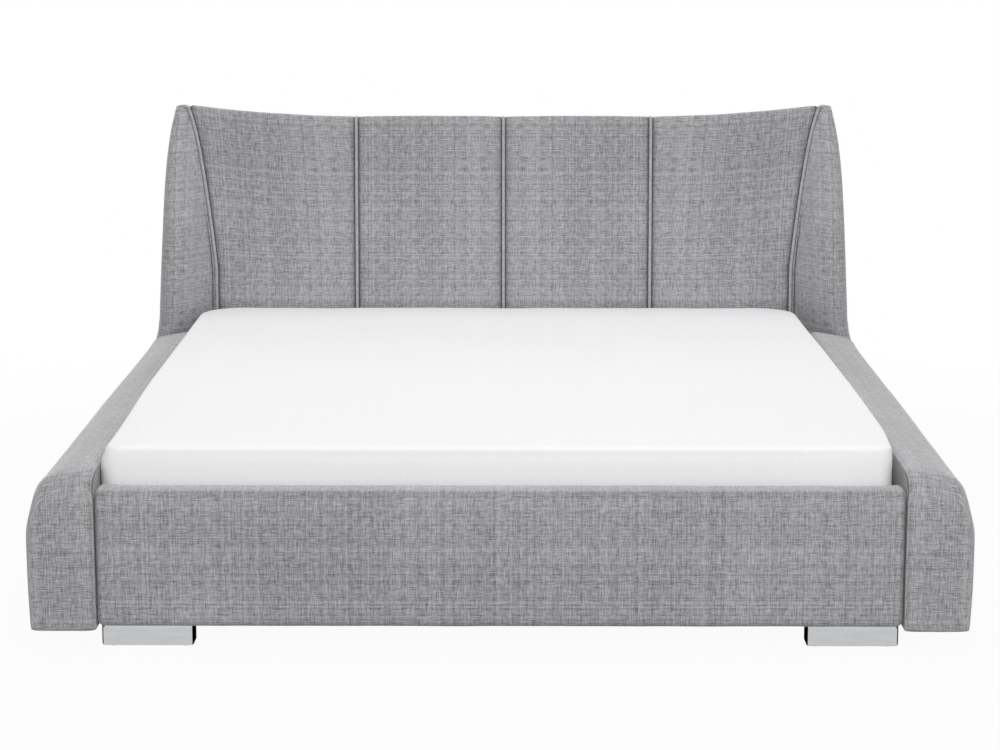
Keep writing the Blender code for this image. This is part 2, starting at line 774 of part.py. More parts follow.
def side_rail(word, side):
    turns = [math.pi / 2 * step / ARC_STEPS for step in range(ARC_STEPS + 1)]
    stations = [RAIL_NOSE * (1 - math.cos(turn)) for turn in turns]
    loops = [rail_section(y) for y in stations]
    loops.append([(x, RAIL_END, z) for x, _, z in rail_section(RAIL_END)])
    cover = loft(f"rail_cover_{word}", loops, GREY_LINEN, side)
    low, high = rail_slot_box(TOUCH)
    low = (low[0], low[1], -OVERRUN)
    high = (high[0], RAIL_END + OVERRUN, high[2])
    boolean(cover, mirrored_box(f"rail_slot_{word}", low, high, None, side))
    mirrored_box(f"rail_board_{word}", *rail_slot_box(0.0), CHIPBOARD, side)


def footboard_section(inset):
    """YZ outline of the footboard cover, drawn in at its ends: by inset in height, less in depth."""
    top = FOOTBOARD_TOP - inset - FOOTBOARD_ROUND
    bottom = FOOTBOARD_BOTTOM + inset + FOOTBOARD_ROUND
    front = inset * FOOTBOARD_END_ROUND / FOOTBOARD_ROUND + FOOTBOARD_ROUND
    back = FOOTBOARD_DEPTH - front
    points = []
    for centre_y, centre_z, start in (
        (back, bottom, -math.pi / 2),
        (back, top, 0.0),
        (front, top, math.pi / 2),
        (front, bottom, math.pi),
    ):
        for step in range(ARC_STEPS + 1):
            angle = start + math.pi / 2 * step / ARC_STEPS
            y = centre_y + FOOTBOARD_ROUND * math.cos(angle)
            points.append((y, centre_z + FOOTBOARD_ROUND * math.sin(angle)))
    return points


def footboard_board_box(margin):
    middle = FOOTBOARD_DEPTH / 2
    half = HALF_WELL - FOOTBOARD_PADDING + margin
    low = (-half, middle - BOARD_THICKNESS / 2 - margin, FOOTBOARD_BOTTOM)
    top = FOOTBOARD_TOP - FOOTBOARD_PADDING + margin
    return low, (half, middle + BOARD_THICKNESS / 2 + margin, top)


def footboard():
    end = HALF_WELL - FOOTBOARD_END_GAP
    arc = edge_arc(FOOTBOARD_ROUND)
    ends = [(-end + away, inward) for inward, away in reversed(arc)]
    ends += [(end - away, inward) for inward, away in arc]
    loops = [[(x, y, z) for y, z in footboard_section(inward)] for x, inward in ends]
    cover = loft("footboard_cover", loops, GREY_LINEN)
    low, high = footboard_board_box(TOUCH)
    low = (low[0], low[1], low[2] - OVERRUN)
    boolean(cover, box("footboard_slot", low, high, None))
    box("footboard_board", *footboard_board_box(0.0), CHIPBOARD)


# Feet, glides, brackets
def feet():
    for side, word in ((-1, "left"), (1, "right")):
        outer = HALF_WELL - FOOT_END_INSET
        low = (outer - FOOT_WIDTH, FOOT_SET_BACK, FOOT_LIFT)
        high = (outer, FOOT_SET_BACK + FOOT_DEPTH, FOOTBOARD_BOTTOM - TOUCH)
        bevel(mirrored_box(f"front_foot_{word}", low, high, POLISHED_STEEL, side), FOOT_ROUND, 3)
        for end, x in (("outer", high[0] - GLIDE_INSET), ("inner", low[0] + GLIDE_INSET)):
            glide(f"glide_{word}_{end}", side * x, FOOT_SET_BACK + FOOT_DEPTH / 2)
        back = BED_LENGTH - REAR_FOOT_BACK
        rear_outer = CORE_HALF - REAR_FOOT_INSET
        low = (rear_outer - FOOT_WIDTH, back - FOOT_DEPTH, 0.0)
        high = (rear_outer, back, FOOTBOARD_BOTTOM - TOUCH)
        mirrored_box(f"rear_foot_{word}", low, high, BLACK_LAMINATE, side)


def glide(name, x, y):
    loops = []
    for z, radius in ((0.0, GLIDE_RADIUS - GLIDE_CHAMFER), (GLIDE_CHAMFER, GLIDE_RADIUS)):
        loops.append(round_loop(radius, z, GLIDE_SIDES))
    loops.append(round_loop(GLIDE_RADIUS, FOOT_LIFT - TOUCH, GLIDE_SIDES))
    made = loft(name, loops, BLACK_PAD)
    made.location = (x, y, 0.0)


def round_loop(radius, z, sides, lobe=0.0):
    points = []
    for step in range(sides):
        angle = 2 * math.pi * step / sides
        reach = radius + lobe * math.cos(CAP_LOBES * angle)
        points.append((reach * math.cos(angle), reach * math.sin(angle), z))
    return points


def brackets():
    """Angles inside the foot corners and plates under the head corners."""
    for side, word in ((-1, "left"), (1, "right")):
        x = HALF_WELL - TOUCH
        y = FOOTBOARD_DEPTH + TOUCH
        outline = (
            (x, y),
            (x, y + BRACKET_LEG),
            (x - BRACKET_THICKNESS, y + BRACKET_LEG),
            (x - BRACKET_THICKNESS, y + BRACKET_THICKNESS),
            (x - BRACKET_LEG, y + BRACKET_THICKNESS),
            (x - BRACKET_LEG, y),
        )
        top = DECK_TOP - DECK_THICKNESS - BRACKET_DROP
        levels = (top - BRACKET_HEIGHT, top)
        loops = [[(px, py, z) for px, py in outline] for z in levels]
        loft(f"corner_bracket_{word}", loops, ZINC_STEEL, side)
        low = (
            HALF_WELL + PLATE_INSET,
            RAIL_END - PLATE_LENGTH / 2,
            RAIL_BOTTOM - TOUCH - BRACKET_THICKNESS,
        )
        high = (low[0] + PLATE_WIDTH, RAIL_END + PLATE_LENGTH / 2, RAIL_BOTTOM - TOUCH)
        mirrored_box(f"head_plate_{word}", low, high, ZINC_STEEL, side)


# Pedestal and deck
def deck(name, side):
    """Half of the deck, notched round the wing at its head corner."""
    outline = (
        (TOUCH / 2, FOOTBOARD_DEPTH + TOUCH),
        (HALF_WELL - TOUCH, FOOTBOARD_DEPTH + TOUCH),
        (HALF_WELL - TOUCH, RAIL_END - DECK_HEAD_GAP),
        (CORE_HALF - TOUCH, RAIL_END - DECK_HEAD_GAP),
        (CORE_HALF - TOUCH, MATTRESS_BACK),
        (TOUCH / 2, MATTRESS_BACK),
    )
    loops = [[(x, y, z) for x, y in outline] for z in (DECK_TOP - DECK_THICKNESS, DECK_TOP)]
    loft(name, loops, CHIPBOARD, side)


def pedestal():
    top = DECK_TOP - DECK_THICKNESS - TOUCH
    foot = MATTRESS_FRONT + PEDESTAL_INSET
    head = MATTRESS_BACK - PEDESTAL_INSET
    outer = HALF_MATTRESS - PEDESTAL_SIDE_INSET
    inner = outer - PEDESTAL_BOARD
    for side, word in ((-1, "left"), (1, "right")):
        mirrored_box(
            f"pedestal_side_{word}",
            (inner, foot, 0.0),
            (outer, head, top),
            BLACK_LAMINATE,
            side,
        )
        deck(f"deck_{word}", side)
    reach = inner - TOUCH
    middle = (foot + head - PEDESTAL_BOARD) / 2
    for name, y in (
        ("pedestal_end_foot", foot),
        ("pedestal_cross_board", middle),
        ("pedestal_end_head", head - PEDESTAL_BOARD),
    ):
        box(name, (-reach, y, 0.0), (reach, y + PEDESTAL_BOARD, top), BLACK_LAMINATE)


# Water mattress
def top_cover(parent):
    """Padded top with its skirt, open below."""
    bottom = ZIP_LEVEL + ZIP_BAND_HEIGHT / 2
    loops = [mattress_ring(COVER_SKIRT, CEILING), mattress_ring(COVER_SKIRT, bottom)]
    loops.append(mattress_ring(0.0, bottom))
    edge = MATTRESS_TOP - MATTRESS_CROWN
    for inset, drop in edge_arc(MATTRESS_EDGE_RADIUS):
        loops.append(mattress_ring(inset, edge - drop))
    for ring_share, rise_share in zip(CROWN_RING_SHARES, CROWN_RISE_SHARES):
        inset = MATTRESS_EDGE_RADIUS + ring_share * HALF_MATTRESS
        loops.append(mattress_ring(inset, edge + rise_share * MATTRESS_CROWN))
    return loft("mattress_top_cover", loops, WHITE_QUILT, parent=parent)


def bottom_cover():
    """Tray of the lower cover, with the zip band standing on its rim."""
    floor = DECK_TOP + TOUCH
    rim = ZIP_LEVEL - ZIP_BAND_HEIGHT / 2
    band_top = ZIP_LEVEL + ZIP_BAND_HEIGHT / 2 - TOUCH
    loops = [
        mattress_ring(COVER_SKIRT, COVER_FLOOR_TOP),
        mattress_ring(COVER_SKIRT, band_top),
        mattress_ring(ZIP_BAND_DEPTH, band_top),
        mattress_ring(ZIP_BAND_DEPTH, rim),
        mattress_ring(0.0, rim),
        mattress_ring(0.0, floor + COVER_SKIRT),
        mattress_ring(COVER_SKIRT, floor),
    ]
    loft("mattress_bottom_cover", loops, WHITE_BASE_CLOTH)


def zip_slider(name, side, parent):
    """Slider body with a raised ridge, in the groove between the two covers."""
    inner = HALF_MATTRESS - ZIP_BAND_DEPTH + TOUCH
    outer = HALF_MATTRESS - TOUCH
    half_height = ZIP_BAND_HEIGHT / 2 - TOUCH
    half_length = SLIDER_LENGTH / 2
    x_in, x_out = inner - HALF_MATTRESS, outer - HALF_MATTRESS
    x_low = x_out - SLIDER_RIDGE
    outline = (
        (x_in, -half_length),
        (x_low, -half_length),
        (x_out, -half_length / 2),
        (x_out, half_length / 2),
        (x_low, half_length),
        (x_in, half_length),
    )
    loops = [[(x, y, z) for x, y in outline] for z in (-half_height, half_height)]
    return loft(name, loops, ZINC_STEEL, side, parent=parent)


def bolster_inner(z, base, crest):
    """Width of a bolster at height z."""
    floor = COVER_FLOOR_TOP + TOUCH
    share = (z - floor) / (BOLSTER_TOP - floor)
    return base + (crest - base) * share


def trim_to_plan(bolster):
    """Round a bolster's outer corners to the plan of the cover that it stands in."""
    skin = COVER_SKIRT + TOUCH
    levels = (COVER_FLOOR_TOP - OVERRUN, BOLSTER_TOP + OVERRUN)
    rings = [mattress_ring(skin, z) for z in levels]
    boolean(bolster, loft(f"{bolster.name}_plan", rings, None), "INTERSECT")


def bolsters():
    levels = (COVER_FLOOR_TOP + TOUCH, BOLSTER_TOP)
    for side, word in ((-1, "left"), (1, "right")):
        loops = []
        for z in levels:
            width = bolster_inner(z, BOLSTER_BASE, BOLSTER_CREST)
            inner = HALF_MATTRESS - width
            far = HALF_MATTRESS + OVERRUN
            low, high = MATTRESS_FRONT - OVERRUN, MATTRESS_BACK + OVERRUN
            loops.append([(inner, low, z), (far, low, z), (far, high, z), (inner, high, z)])
        trim_to_plan(loft(f"bolster_{word}", loops, BOLSTER_FOAM, side))
    for word, end, inward in (("foot", MATTRESS_FRONT, 1), ("head", MATTRESS_BACK, -1)):
        loops = []
        for z in levels:
            width = bolster_inner(z, BOLSTER_BASE, BOLSTER_CREST)
            half = HALF_MATTRESS - width - TOUCH
            y = end - inward * OVERRUN
            face = end + inward * width
            loops.append([(-half, y, z), (half, y, z), (half, face, z), (-half, face, z)])
        trim_to_plan(loft(f"bolster_{word}", loops, BOLSTER_FOAM))


def basin_ring(gap, z, low_x=None):
    """Outline of the basin inside the bolsters at height z, drawn in by gap."""
    width = bolster_inner(z, BOLSTER_BASE, BOLSTER_CREST) + gap
    half = HALF_MATTRESS - width
    start = -half if low_x is None else low_x
    radius = BLADDER_ROUND
    front, back = MATTRESS_FRONT + width, MATTRESS_BACK - width
    return ring(start, half, front, back, radius, radius, z)


def liner():
    """Thin watertight tray over the basin, lapped out over the bolsters."""
    lap = BOLSTER_CREST - LINER_LAP
    loops = [
        basin_ring(TOUCH + LINER, LINER_FLOOR + LINER),
        basin_ring(TOUCH + LINER, RIM_TOP),
        mattress_ring(lap, RIM_TOP),
        mattress_ring(lap, RIM_TOP - LINER),
        basin_ring(TOUCH, RIM_TOP - LINER),
        basin_ring(TOUCH, LINER_FLOOR),
    ]
    loft("safety_liner", loops, CLEAR_LINER)


def divider_half(z):
    floor = LINER_FLOOR + LINER + TOUCH
    share = (z - floor) / (DIVIDER_TOP - floor)
    return DIVIDER_BASE_HALF + (DIVIDER_CREST_HALF - DIVIDER_BASE_HALF) * share


def divider():
    loops = []
    for z in (LINER_FLOOR + LINER + TOUCH, DIVIDER_TOP):
        half = divider_half(z)
        width = bolster_inner(z, BOLSTER_BASE, BOLSTER_CREST) + LINER + 3 * TOUCH
        low, high = MATTRESS_FRONT + width, MATTRESS_BACK - width
        loops.append([(-half, low, z), (half, low, z), (half, high, z), (-half, high, z)])
    loft("water_divider", loops, BOLSTER_FOAM)


def cap_place():
    """Centre of a fill neck, on the right-hand bladder."""
    width = bolster_inner(BLADDER_TOP, BOLSTER_BASE, BOLSTER_CREST)
    return (HALF_MATTRESS - width) / 2, MATTRESS_FRONT + width + NECK_FROM_FOOT


def bladder(word, side):
    """Half of the water, a crowned pillow with a well and a fill neck at its foot end."""
    floor = LINER_FLOOR + LINER + TOUCH
    slack = LINER + BLADDER_SLACK
    loops = []
    arc = edge_arc(BLADDER_ROUND)
    for inset, drop in reversed(arc):
        z = floor + drop
        loops.append(basin_ring(slack + inset, z, divider_half(z) + TOUCH + inset))
    for inset, drop in arc:
        z = BLADDER_TOP - drop
        loops.append(basin_ring(slack + inset, z, divider_half(z) + BLADDER_SLACK + inset))
    for ring_share, rise_share in zip(CROWN_RING_SHARES, CROWN_RISE_SHARES):
        inset = BLADDER_ROUND + ring_share * HALF_MATTRESS / 2
        z = BLADDER_TOP + rise_share * BLADDER_CROWN
        loops.append(basin_ring(slack + inset, z, divider_half(DIVIDER_TOP) + inset))
    made = loft(f"water_bladder_{word}", loops, BLUE_VINYL, side)
    x, y = cap_place()
    well = turned(f"bladder_well_{word}", (side * x, y), WELL_RADIUS, WELL_FLOOR, MATTRESS_TOP)
    boolean(made, well)
    neck = turned(
        f"bladder_neck_{word}", (side * x, y), NECK_RADIUS, WELL_FLOOR - OVERRUN, NECK_TOP
    )
    boolean(made, neck, "UNION")


def turned(name, centre, radius, low, high):
    loops = [round_loop(radius, low, GLIDE_SIDES), round_loop(radius, high, GLIDE_SIDES)]
    made = loft(name, loops, None)
    made.location = (*centre, 0.0)
    return made


def screw_cap(name, parent):
    """Lobed cap over a fill neck, open below."""
    sides = CAP_LOBES * CAP_POINTS_PER_LOBE
    bottom = WELL_FLOOR + TOUCH
    inner = NECK_RADIUS + CAP_CLEARANCE
    loops = [
        round_loop(inner, NECK_TOP + TOUCH, sides),
        round_loop(inner, bottom, sides),
        round_loop(CAP_RADIUS, bottom, sides, CAP_LOBE),
        round_loop(CAP_RADIUS, CAP_TOP - CAP_CHAMFER, sides, CAP_LOBE),
        round_loop(CAP_RADIUS - 2 * CAP_CHAMFER, CAP_TOP, sides),
    ]
    return loft(name, loops, WHITE_CAP, parent=parent)


def heater(word, side):
    """Flat heating pad with the tab that its lead would leave by."""
    floor = COVER_FLOOR_TOP + TOUCH
    x, _ = cap_place()
    middle = (MATTRESS_FRONT + MATTRESS_BACK) / 2
    half_w = HEATER_WIDTH_SHARE * HALF_MATTRESS / 2
    half_l = HEATER_LENGTH_SHARE * MATTRESS_LENGTH / 2
    half_tab = HEATER_TAB_WIDTH / 2
    outline = (
        (x - half_w, middle - half_l),
        (x + half_w, middle - half_l),
        (x + half_w, middle + half_l),
        (x + half_tab, middle + half_l),
        (x + half_tab, middle + half_l + HEATER_TAB_LENGTH),
        (x - half_tab, middle + half_l + HEATER_TAB_LENGTH),
        (x - half_tab, middle + half_l),
        (x - half_w, middle + half_l),
    )
    loops = [[(px, py, z) for px, py in outline] for z in (floor, floor + HEATER_THICKNESS)]
    loft(f"heater_{word}", loops, GREY_HEATER, side)


def water_mattress():
    lift = empty("top_cover_lift", (0.0, 0.0, 0.0), bed)
    top_cover(lift)
    bottom_cover()
    bolsters()
    liner()
    divider()
    run_y = MATTRESS_BACK - MATTRESS_BACK_RADIUS - SLIDER_END_GAP - SLIDER_LENGTH / 2
    for side, word in ((-1, "left"), (1, "right")):
        bladder(word, side)
        heater(word, side)
        x, y = cap_place()
        screw_cap(f"valve_cap_{word}", empty(f"valve_axis_{word}", (side * x, y, 0.0), bed))
        run = empty(f"zip_run_{word}", (side * HALF_MATTRESS, run_y, ZIP_LEVEL), bed)
        zip_slider(f"zip_slider_{word}", side, run)


headboard()
headboard_core()
side_rail("left", -1)
side_rail("right", 1)
footboard()
feet()
brackets()
pedestal()
water_mattress()
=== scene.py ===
"""Looks of an upholstered waterbed: linen covers over foam, piping, a zipped mattress cover, and the
water mattress, woodwork, feet and fittings inside and below.

Metres, +Z up, +Y towards the headboard, x = 0 on the middle line of the bed.
"""

import math

import bmesh
import bpy
import numpy as np
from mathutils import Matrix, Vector


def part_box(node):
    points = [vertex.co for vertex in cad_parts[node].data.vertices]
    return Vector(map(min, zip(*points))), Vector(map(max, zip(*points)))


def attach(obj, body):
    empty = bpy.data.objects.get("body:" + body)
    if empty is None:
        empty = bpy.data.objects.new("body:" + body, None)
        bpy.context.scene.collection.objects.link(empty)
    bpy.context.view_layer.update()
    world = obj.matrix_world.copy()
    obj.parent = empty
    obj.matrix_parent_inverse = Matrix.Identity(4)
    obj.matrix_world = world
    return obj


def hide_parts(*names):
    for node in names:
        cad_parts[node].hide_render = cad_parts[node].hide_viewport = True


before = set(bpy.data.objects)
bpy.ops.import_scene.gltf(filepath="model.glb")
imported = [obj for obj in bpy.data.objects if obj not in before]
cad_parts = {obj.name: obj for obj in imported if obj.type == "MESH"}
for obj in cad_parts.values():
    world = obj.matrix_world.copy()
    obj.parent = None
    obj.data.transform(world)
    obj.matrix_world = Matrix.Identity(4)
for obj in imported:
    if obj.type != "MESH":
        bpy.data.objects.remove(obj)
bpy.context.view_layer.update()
scene = bpy.context.scene

# Front and back of the bed, the air between pieces that touch, how far a cutting block runs past
# what it cuts, and the two sides of the bed
FRONT = -1.1125
BACK = 1.1125
TOUCH = 0.0003
OVERRUN = 0.05
SIDES = ((-1, "left"), (1, "right"))

# Headboard: its outline, its seams, and the forms of pads and cords between them
SEAM_PLANE = FRONT + 2.096
LEAN = 0.07
PAD_FOOT = 0.360
TOP_MIDDLE = 1.0225
TOP_TIP = 1.058
TOP_ROUND = 0.014
TOP_EDGE = TOP_TIP - TOP_ROUND
TOP_LEVEL_HALF = 0.450142
TOP_RISE_LENGTH = 0.499858
CORE_TOP = 0.998
CORE_HALF = 0.8605
PAD_DEPTH = 0.042
SEAM_FOOT = 0.869
SEAM_SWEEP_FROM = 0.560
SEAM_SWEEP = 0.066
SEAM_FLICK = 0.015
CHANNEL = 0.44319
CORD_RADIUS = 0.0045
CORD_SINK = 0.0005
GROOVE = 0.0048
SEAM_HALF = 0.0012
PAD_CROWN = 0.0085
TOP_CROWN = 0.0045
SEAM_ROLL = 0.007
ROLL_SHARE = 0.42
SEAM_HOLD = 0.03
# Distance over which the painted shade by a seam, and the puckers there, fade
SEAM_SHADE = 0.006
CORD_STEP = 0.006
REAR_FALL = 0.008
REAR_DROP = 0.011
REAR_HEM = 0.003

# Rails and wings: their planes, roundings, and how the wings draw in
WELL_HALF = 0.908
BED_HALF = 1.061
RAIL_TOP = 0.410
RAIL_FOOT = 0.045
RAIL_END = FRONT + 1.920
RAIL_NOSE = 0.060
RAIL_CORNER = 0.008
HORN_TOP = 1.0525
WING_TUCK = 0.0356
WING_DRAW = 0.0159
WING_FLICK = 0.0255
WING_CORNER = 0.010
WING_CREASE = 0.011
WING_CREASE_RISE = 0.003
WING_CREASE_DEPTH = 0.0020
WING_RIDGE_SHARE = 0.72
WING_TURN_SHARE = 0.40
# Place of a rail's inner seam, and its outline seen from its end, as shares of its width and height
# from its inner lower corner
RAIL_SEAM_SHARES = (0.016, 0.974)
RAIL_OUTLINE_SHARES = (
    (0.020, 0.000),
    (0.000, 0.020),
    (0.000, 0.500),
    (0.000, 0.960),
    (0.003, 0.974),
    (0.018, 0.972),
    (0.016, 0.986),
    (0.040, 0.996),
    (0.090, 1.000),
    (0.420, 0.978),
    (0.700, 0.955),
    (0.800, 0.932),
    (0.860, 0.900),
    (0.908, 0.840),
    (0.950, 0.765),
    (0.988, 0.690),
    (1.000, 0.630),
    (1.000, 0.320),
    (0.985, 0.150),
    (0.972, 0.020),
    (0.950, 0.000),
    (0.500, 0.000),
)

# Footboard
BOARD_TOP = 0.372
BOARD_FOOT = 0.056
BOARD_DEPTH = 0.075
BOARD_HALF = WELL_HALF - 0.0028
BOARD_ROUND = 0.014
BOARD_END_ROUND = 0.007

# Mattress
BED_TOP = 0.457
BED_SIDE = 0.900
BED_FRONT = FRONT + 0.080
BED_BACK = FRONT + 2.080
EDGE_ROUND = 0.011
CORNER_FRONT = 0.036
CORNER_REAR = 0.120
CORNER_LEAST = 0.012
BED_DOME = 0.003
ZIP_LEVEL = 0.300
# How far its sides have settled from the solid: to the left, and drawn in on the right
FULL_LEFT = 0.0060
LEAN_LEFT = 0.013
DRAWN_RIGHT = 0.003
DRAWN_RIGHT_HEAD = 0.022
DRAWN_RIGHT_FOOT = 0.010

# Front feet: middle and half width of each, and how far the plating wraps round its front edges; past
# it their ends are painted shade
FOOT_MIDDLE = 0.796
FOOT_HALF = 0.104
PLATING_WRAP = 0.0035

# Water bladders, and the sloping foam walls round them
BLADDER_FLOOR = 0.2287
BLADDER_TOP = 0.414
BLADDER_ROUND = 0.022
BLADDER_REACH = 0.36
BLADDER_RISE = 0.006
WELL_RADIUS = 0.034
WELL_FLOOR = 0.398
NECK_RADIUS = 0.016
NECK_TOP = 0.412
WALL_FOOT_LEVEL = 0.2259
WALL_TOP_LEVEL = 0.426
WALL_FOOT = 0.150
WALL_TAPER = 0.070
WALL_GAP = 0.004
DIVIDER_TOP_LEVEL = 0.406
DIVIDER_FOOT = 0.030
DIVIDER_TAPER = 0.015
DIVIDER_GAP = 0.003


# Materials
def linear(code):
    """Linear colour of an sRGB hex value."""
    parts = [int(code[i : i + 2], 16) / 255 for i in (0, 2, 4)]
    return tuple(p / 12.92 if p <= 0.04045 else ((p + 0.055) / 1.055) ** 2.4 for p in parts)


def feed(tree, node, inputs):
    """Gives a node its inputs: each is a value, a socket, or a node whose first socket is meant."""
    for key, value in inputs.items():
        if isinstance(value, bpy.types.Node):
            value = value.outputs[0]
        if isinstance(value, bpy.types.NodeSocket):
            tree.links.new(value, node.inputs[key])
        else:
            node.inputs[key].default_value = value
    return node


def add(tree, kind, inputs=None, **settings):
    """A new node with its settings and inputs."""
    made = tree.nodes.new(kind)
    for key, value in settings.items():
        setattr(made, key, value)
    return feed(tree, made, inputs or {})


def material(name):
    """A new material with its node tree and its surface node."""
    made = bpy.data.materials.new(name)
    made.use_nodes = True
    tree = made.node_tree
    return made, tree, tree.nodes["Principled BSDF"]


# How strongly woven cloth shows each thing, where 1 is the step from its dark to its light colour:
# each thread's own tone, thick places along a thread, closed places in the weave, broad patches
TONE_SHARE = 0.45
SLUB_SHARE = 1.5
WEAVE_SHARE = 0.75
PATCH_SHARE = 0.26
CLOTH_LEVEL = -0.68
THREADS_APART = 97.0


def woven(name, dark, light, thread, slub, painted_shade_strength, sheen, turn=0.0):
    """Plain-woven cloth read along its own threads, each with a tone that wanders along it. thread
    is the width of a thread and slub the length of its thick places, in metres."""
    made, tree, shader = material(name)
    cloth = add(tree, "ShaderNodeUVMap", uv_map="cloth")
    if turn:
        cloth = add(
            tree, "ShaderNodeVectorRotate", {"Vector": cloth, "Angle": math.radians(turn)},
            rotation_type="Z_AXIS",
        )
    parts = add(tree, "ShaderNodeSeparateXYZ", {"Vector": cloth}).outputs
    waves, tones = [], []
    for across, along in ((parts["X"], parts["Y"]), (parts["Y"], parts["X"])):
        angle = add(tree, "ShaderNodeMath", {0: across, 1: math.pi / thread}, operation="MULTIPLY")
        waves.append(add(tree, "ShaderNodeMath", {0: angle}, operation="SINE"))
        place = add(tree, "ShaderNodeMath", {0: across, 1: 1 / thread}, operation="MULTIPLY")
        count = add(tree, "ShaderNodeMath", {0: place}, operation="FLOOR")
        own = add(tree, "ShaderNodeTexWhiteNoise", {"W": count}, noise_dimensions="1D")
        run = add(tree, "ShaderNodeMath", {0: along, 1: 1 / slub}, operation="MULTIPLY")
        start = add(
            tree, "ShaderNodeMath", {0: own, 1: THREADS_APART, 2: run}, operation="MULTIPLY_ADD"
        )
        wander = add(
            tree, "ShaderNodeTexNoise", {"W": start, "Scale": 1.0, "Detail": 3.0},
            noise_dimensions="1D",
        )
        tone = add(
            tree, "ShaderNodeMath", {0: own, 1: TONE_SHARE, 2: -TONE_SHARE / 2},
            operation="MULTIPLY_ADD",
        )
        tones.append(
            add(tree, "ShaderNodeMath", {0: wander, 1: SLUB_SHARE, 2: tone}, operation="MULTIPLY_ADD")
        )
    weave = add(tree, "ShaderNodeMath", {0: waves[0], 1: waves[1]}, operation="MULTIPLY")
    over = add(
        tree, "ShaderNodeMapRange",
        {"Value": weave, "From Min": -0.15, "From Max": 0.15, "To Min": 0.15, "To Max": 0.85},
    )
    threads = add(tree, "ShaderNodeMix", {"Factor": over, "A": tones[0], "B": tones[1]})
    broad = add(
        tree, "ShaderNodeTexNoise", {"Vector": cloth, "Scale": 2.4, "Detail": 3.0},
        noise_dimensions="2D",
    )
    patch = add(
        tree, "ShaderNodeMath", {0: broad, 1: PATCH_SHARE, 2: CLOTH_LEVEL}, operation="MULTIPLY_ADD"
    )
    closed = add(tree, "ShaderNodeMath", {0: weave}, operation="ABSOLUTE")
    ground = add(
        tree, "ShaderNodeMath", {0: closed, 1: WEAVE_SHARE, 2: patch}, operation="MULTIPLY_ADD"
    )
    blend = add(tree, "ShaderNodeMath", {0: threads, 1: ground}, operation="ADD", use_clamp=True)
    colour = add(
        tree, "ShaderNodeMix",
        {"Factor": blend, "A": (*linear(dark), 1), "B": (*linear(light), 1)}, data_type="RGBA",
    )
    # Painted shade: the colour is darkened by up to the given strength where a piece's seam mark is
    # set, for the shade in its seams, creases and gaps
    seam = add(tree, "ShaderNodeAttribute", attribute_name="seam").outputs["Fac"]
    painted_shade = add(
        tree, "ShaderNodeMath", {0: seam, 1: -painted_shade_strength, 2: 1.0}, operation="MULTIPLY_ADD"
    )
    shaded = add(
        tree, "ShaderNodeMix", {"Factor": 1.0, "A": colour.outputs["Result"], "B": painted_shade},
        data_type="RGBA", blend_type="MULTIPLY",
    )
    height = add(
        tree, "ShaderNodeMath", {0: weave, 1: 0.5, 2: threads}, operation="MULTIPLY_ADD"
    )
    relief = add(
        tree, "ShaderNodeBump", {"Height": height, "Strength": 0.35, "Distance": thread / 5}
    )
    surface = {"Base Color": shaded.outputs["Result"], "Normal": relief, "Roughness": 0.92}
    surface |= {"Specular IOR Level": 0.2, "Sheen Weight": sheen, "Sheen Roughness": 0.45}
    feed(tree, shader, surface)
    return made


def speckled(name, colours, grain, roughness, bump=0.0, metallic=0.0, stretch=(1, 1, 1), detail=4.0,
             spread=(0.35, 0.65)):
    """A surface whose colour wanders between a few values over a grain size in metres."""
    made, tree, shader = material(name)
    place = add(tree, "ShaderNodeTexCoord").outputs["Object"]
    scaled = add(
        tree, "ShaderNodeMapping", {"Vector": place, "Scale": [s / grain for s in stretch]}
    )
    noise = add(
        tree, "ShaderNodeTexNoise",
        {"Vector": scaled, "Scale": 1.0, "Detail": detail, "Roughness": 0.6},
    )
    ramp = add(tree, "ShaderNodeValToRGB", {"Fac": noise})
    low, high = spread
    stops = ramp.color_ramp.elements
    while len(stops) < len(colours):
        stops.new(0.5)
    for index in range(len(colours)):
        stops[index].position = low + (high - low) * index / (len(colours) - 1)
    for stop, code in zip(stops, colours):
        stop.color = (*linear(code), 1)
    rough = add(
        tree, "ShaderNodeMapRange",
        {
            "Value": noise, "From Min": 0.3, "From Max": 0.7,
            "To Min": roughness[0], "To Max": roughness[1],
        },
    )
    feed(tree, shader, {"Base Color": ramp, "Roughness": rough, "Metallic": metallic})
    if bump:
        relief = add(tree, "ShaderNodeBump", {"Height": noise, "Strength": 0.5, "Distance": bump})
        feed(tree, shader, {"Normal": relief})
    return made


def paint_shade_on_foot_ends(finish):
    """The metal of a front foot wraps its front and top; its ends are drawn matt black with no
    reflection, as painted shade.
    """
    tree = finish.node_tree
    shader = tree.nodes["Principled BSDF"]
    place = add(tree, "ShaderNodeTexCoord").outputs["Object"]
    across = add(tree, "ShaderNodeSeparateXYZ", {"Vector": place}).outputs["X"]
    away = add(tree, "ShaderNodeMath", {0: across}, operation="ABSOLUTE")
    offset = add(tree, "ShaderNodeMath", {0: away, 1: -FOOT_MIDDLE}, operation="ADD")
    reach = add(tree, "ShaderNodeMath", {0: offset}, operation="ABSOLUTE")
    shaded_end = add(
        tree, "ShaderNodeMath", {0: reach, 1: FOOT_HALF - PLATING_WRAP}, operation="GREATER_THAN"
    )
    plated = add(tree, "ShaderNodeMath", {0: 1.0, 1: shaded_end}, operation="SUBTRACT")
    shine = add(tree, "ShaderNodeMath", {0: 0.5, 1: plated}, operation="MULTIPLY")
    metal = shader.inputs["Base Color"].links[0].from_socket
    # Painted shade: the ends are drawn near black, with no metal and no gloss
    colour = add(
        tree, "ShaderNodeMix", {"Factor": shaded_end, "A": metal, "B": (*linear("0c0c0d"), 1)},
        data_type="RGBA",
    ).outputs["Result"]
    feed(tree, shader, {"Base Color": colour, "Metallic": plated, "Specular IOR Level": shine})


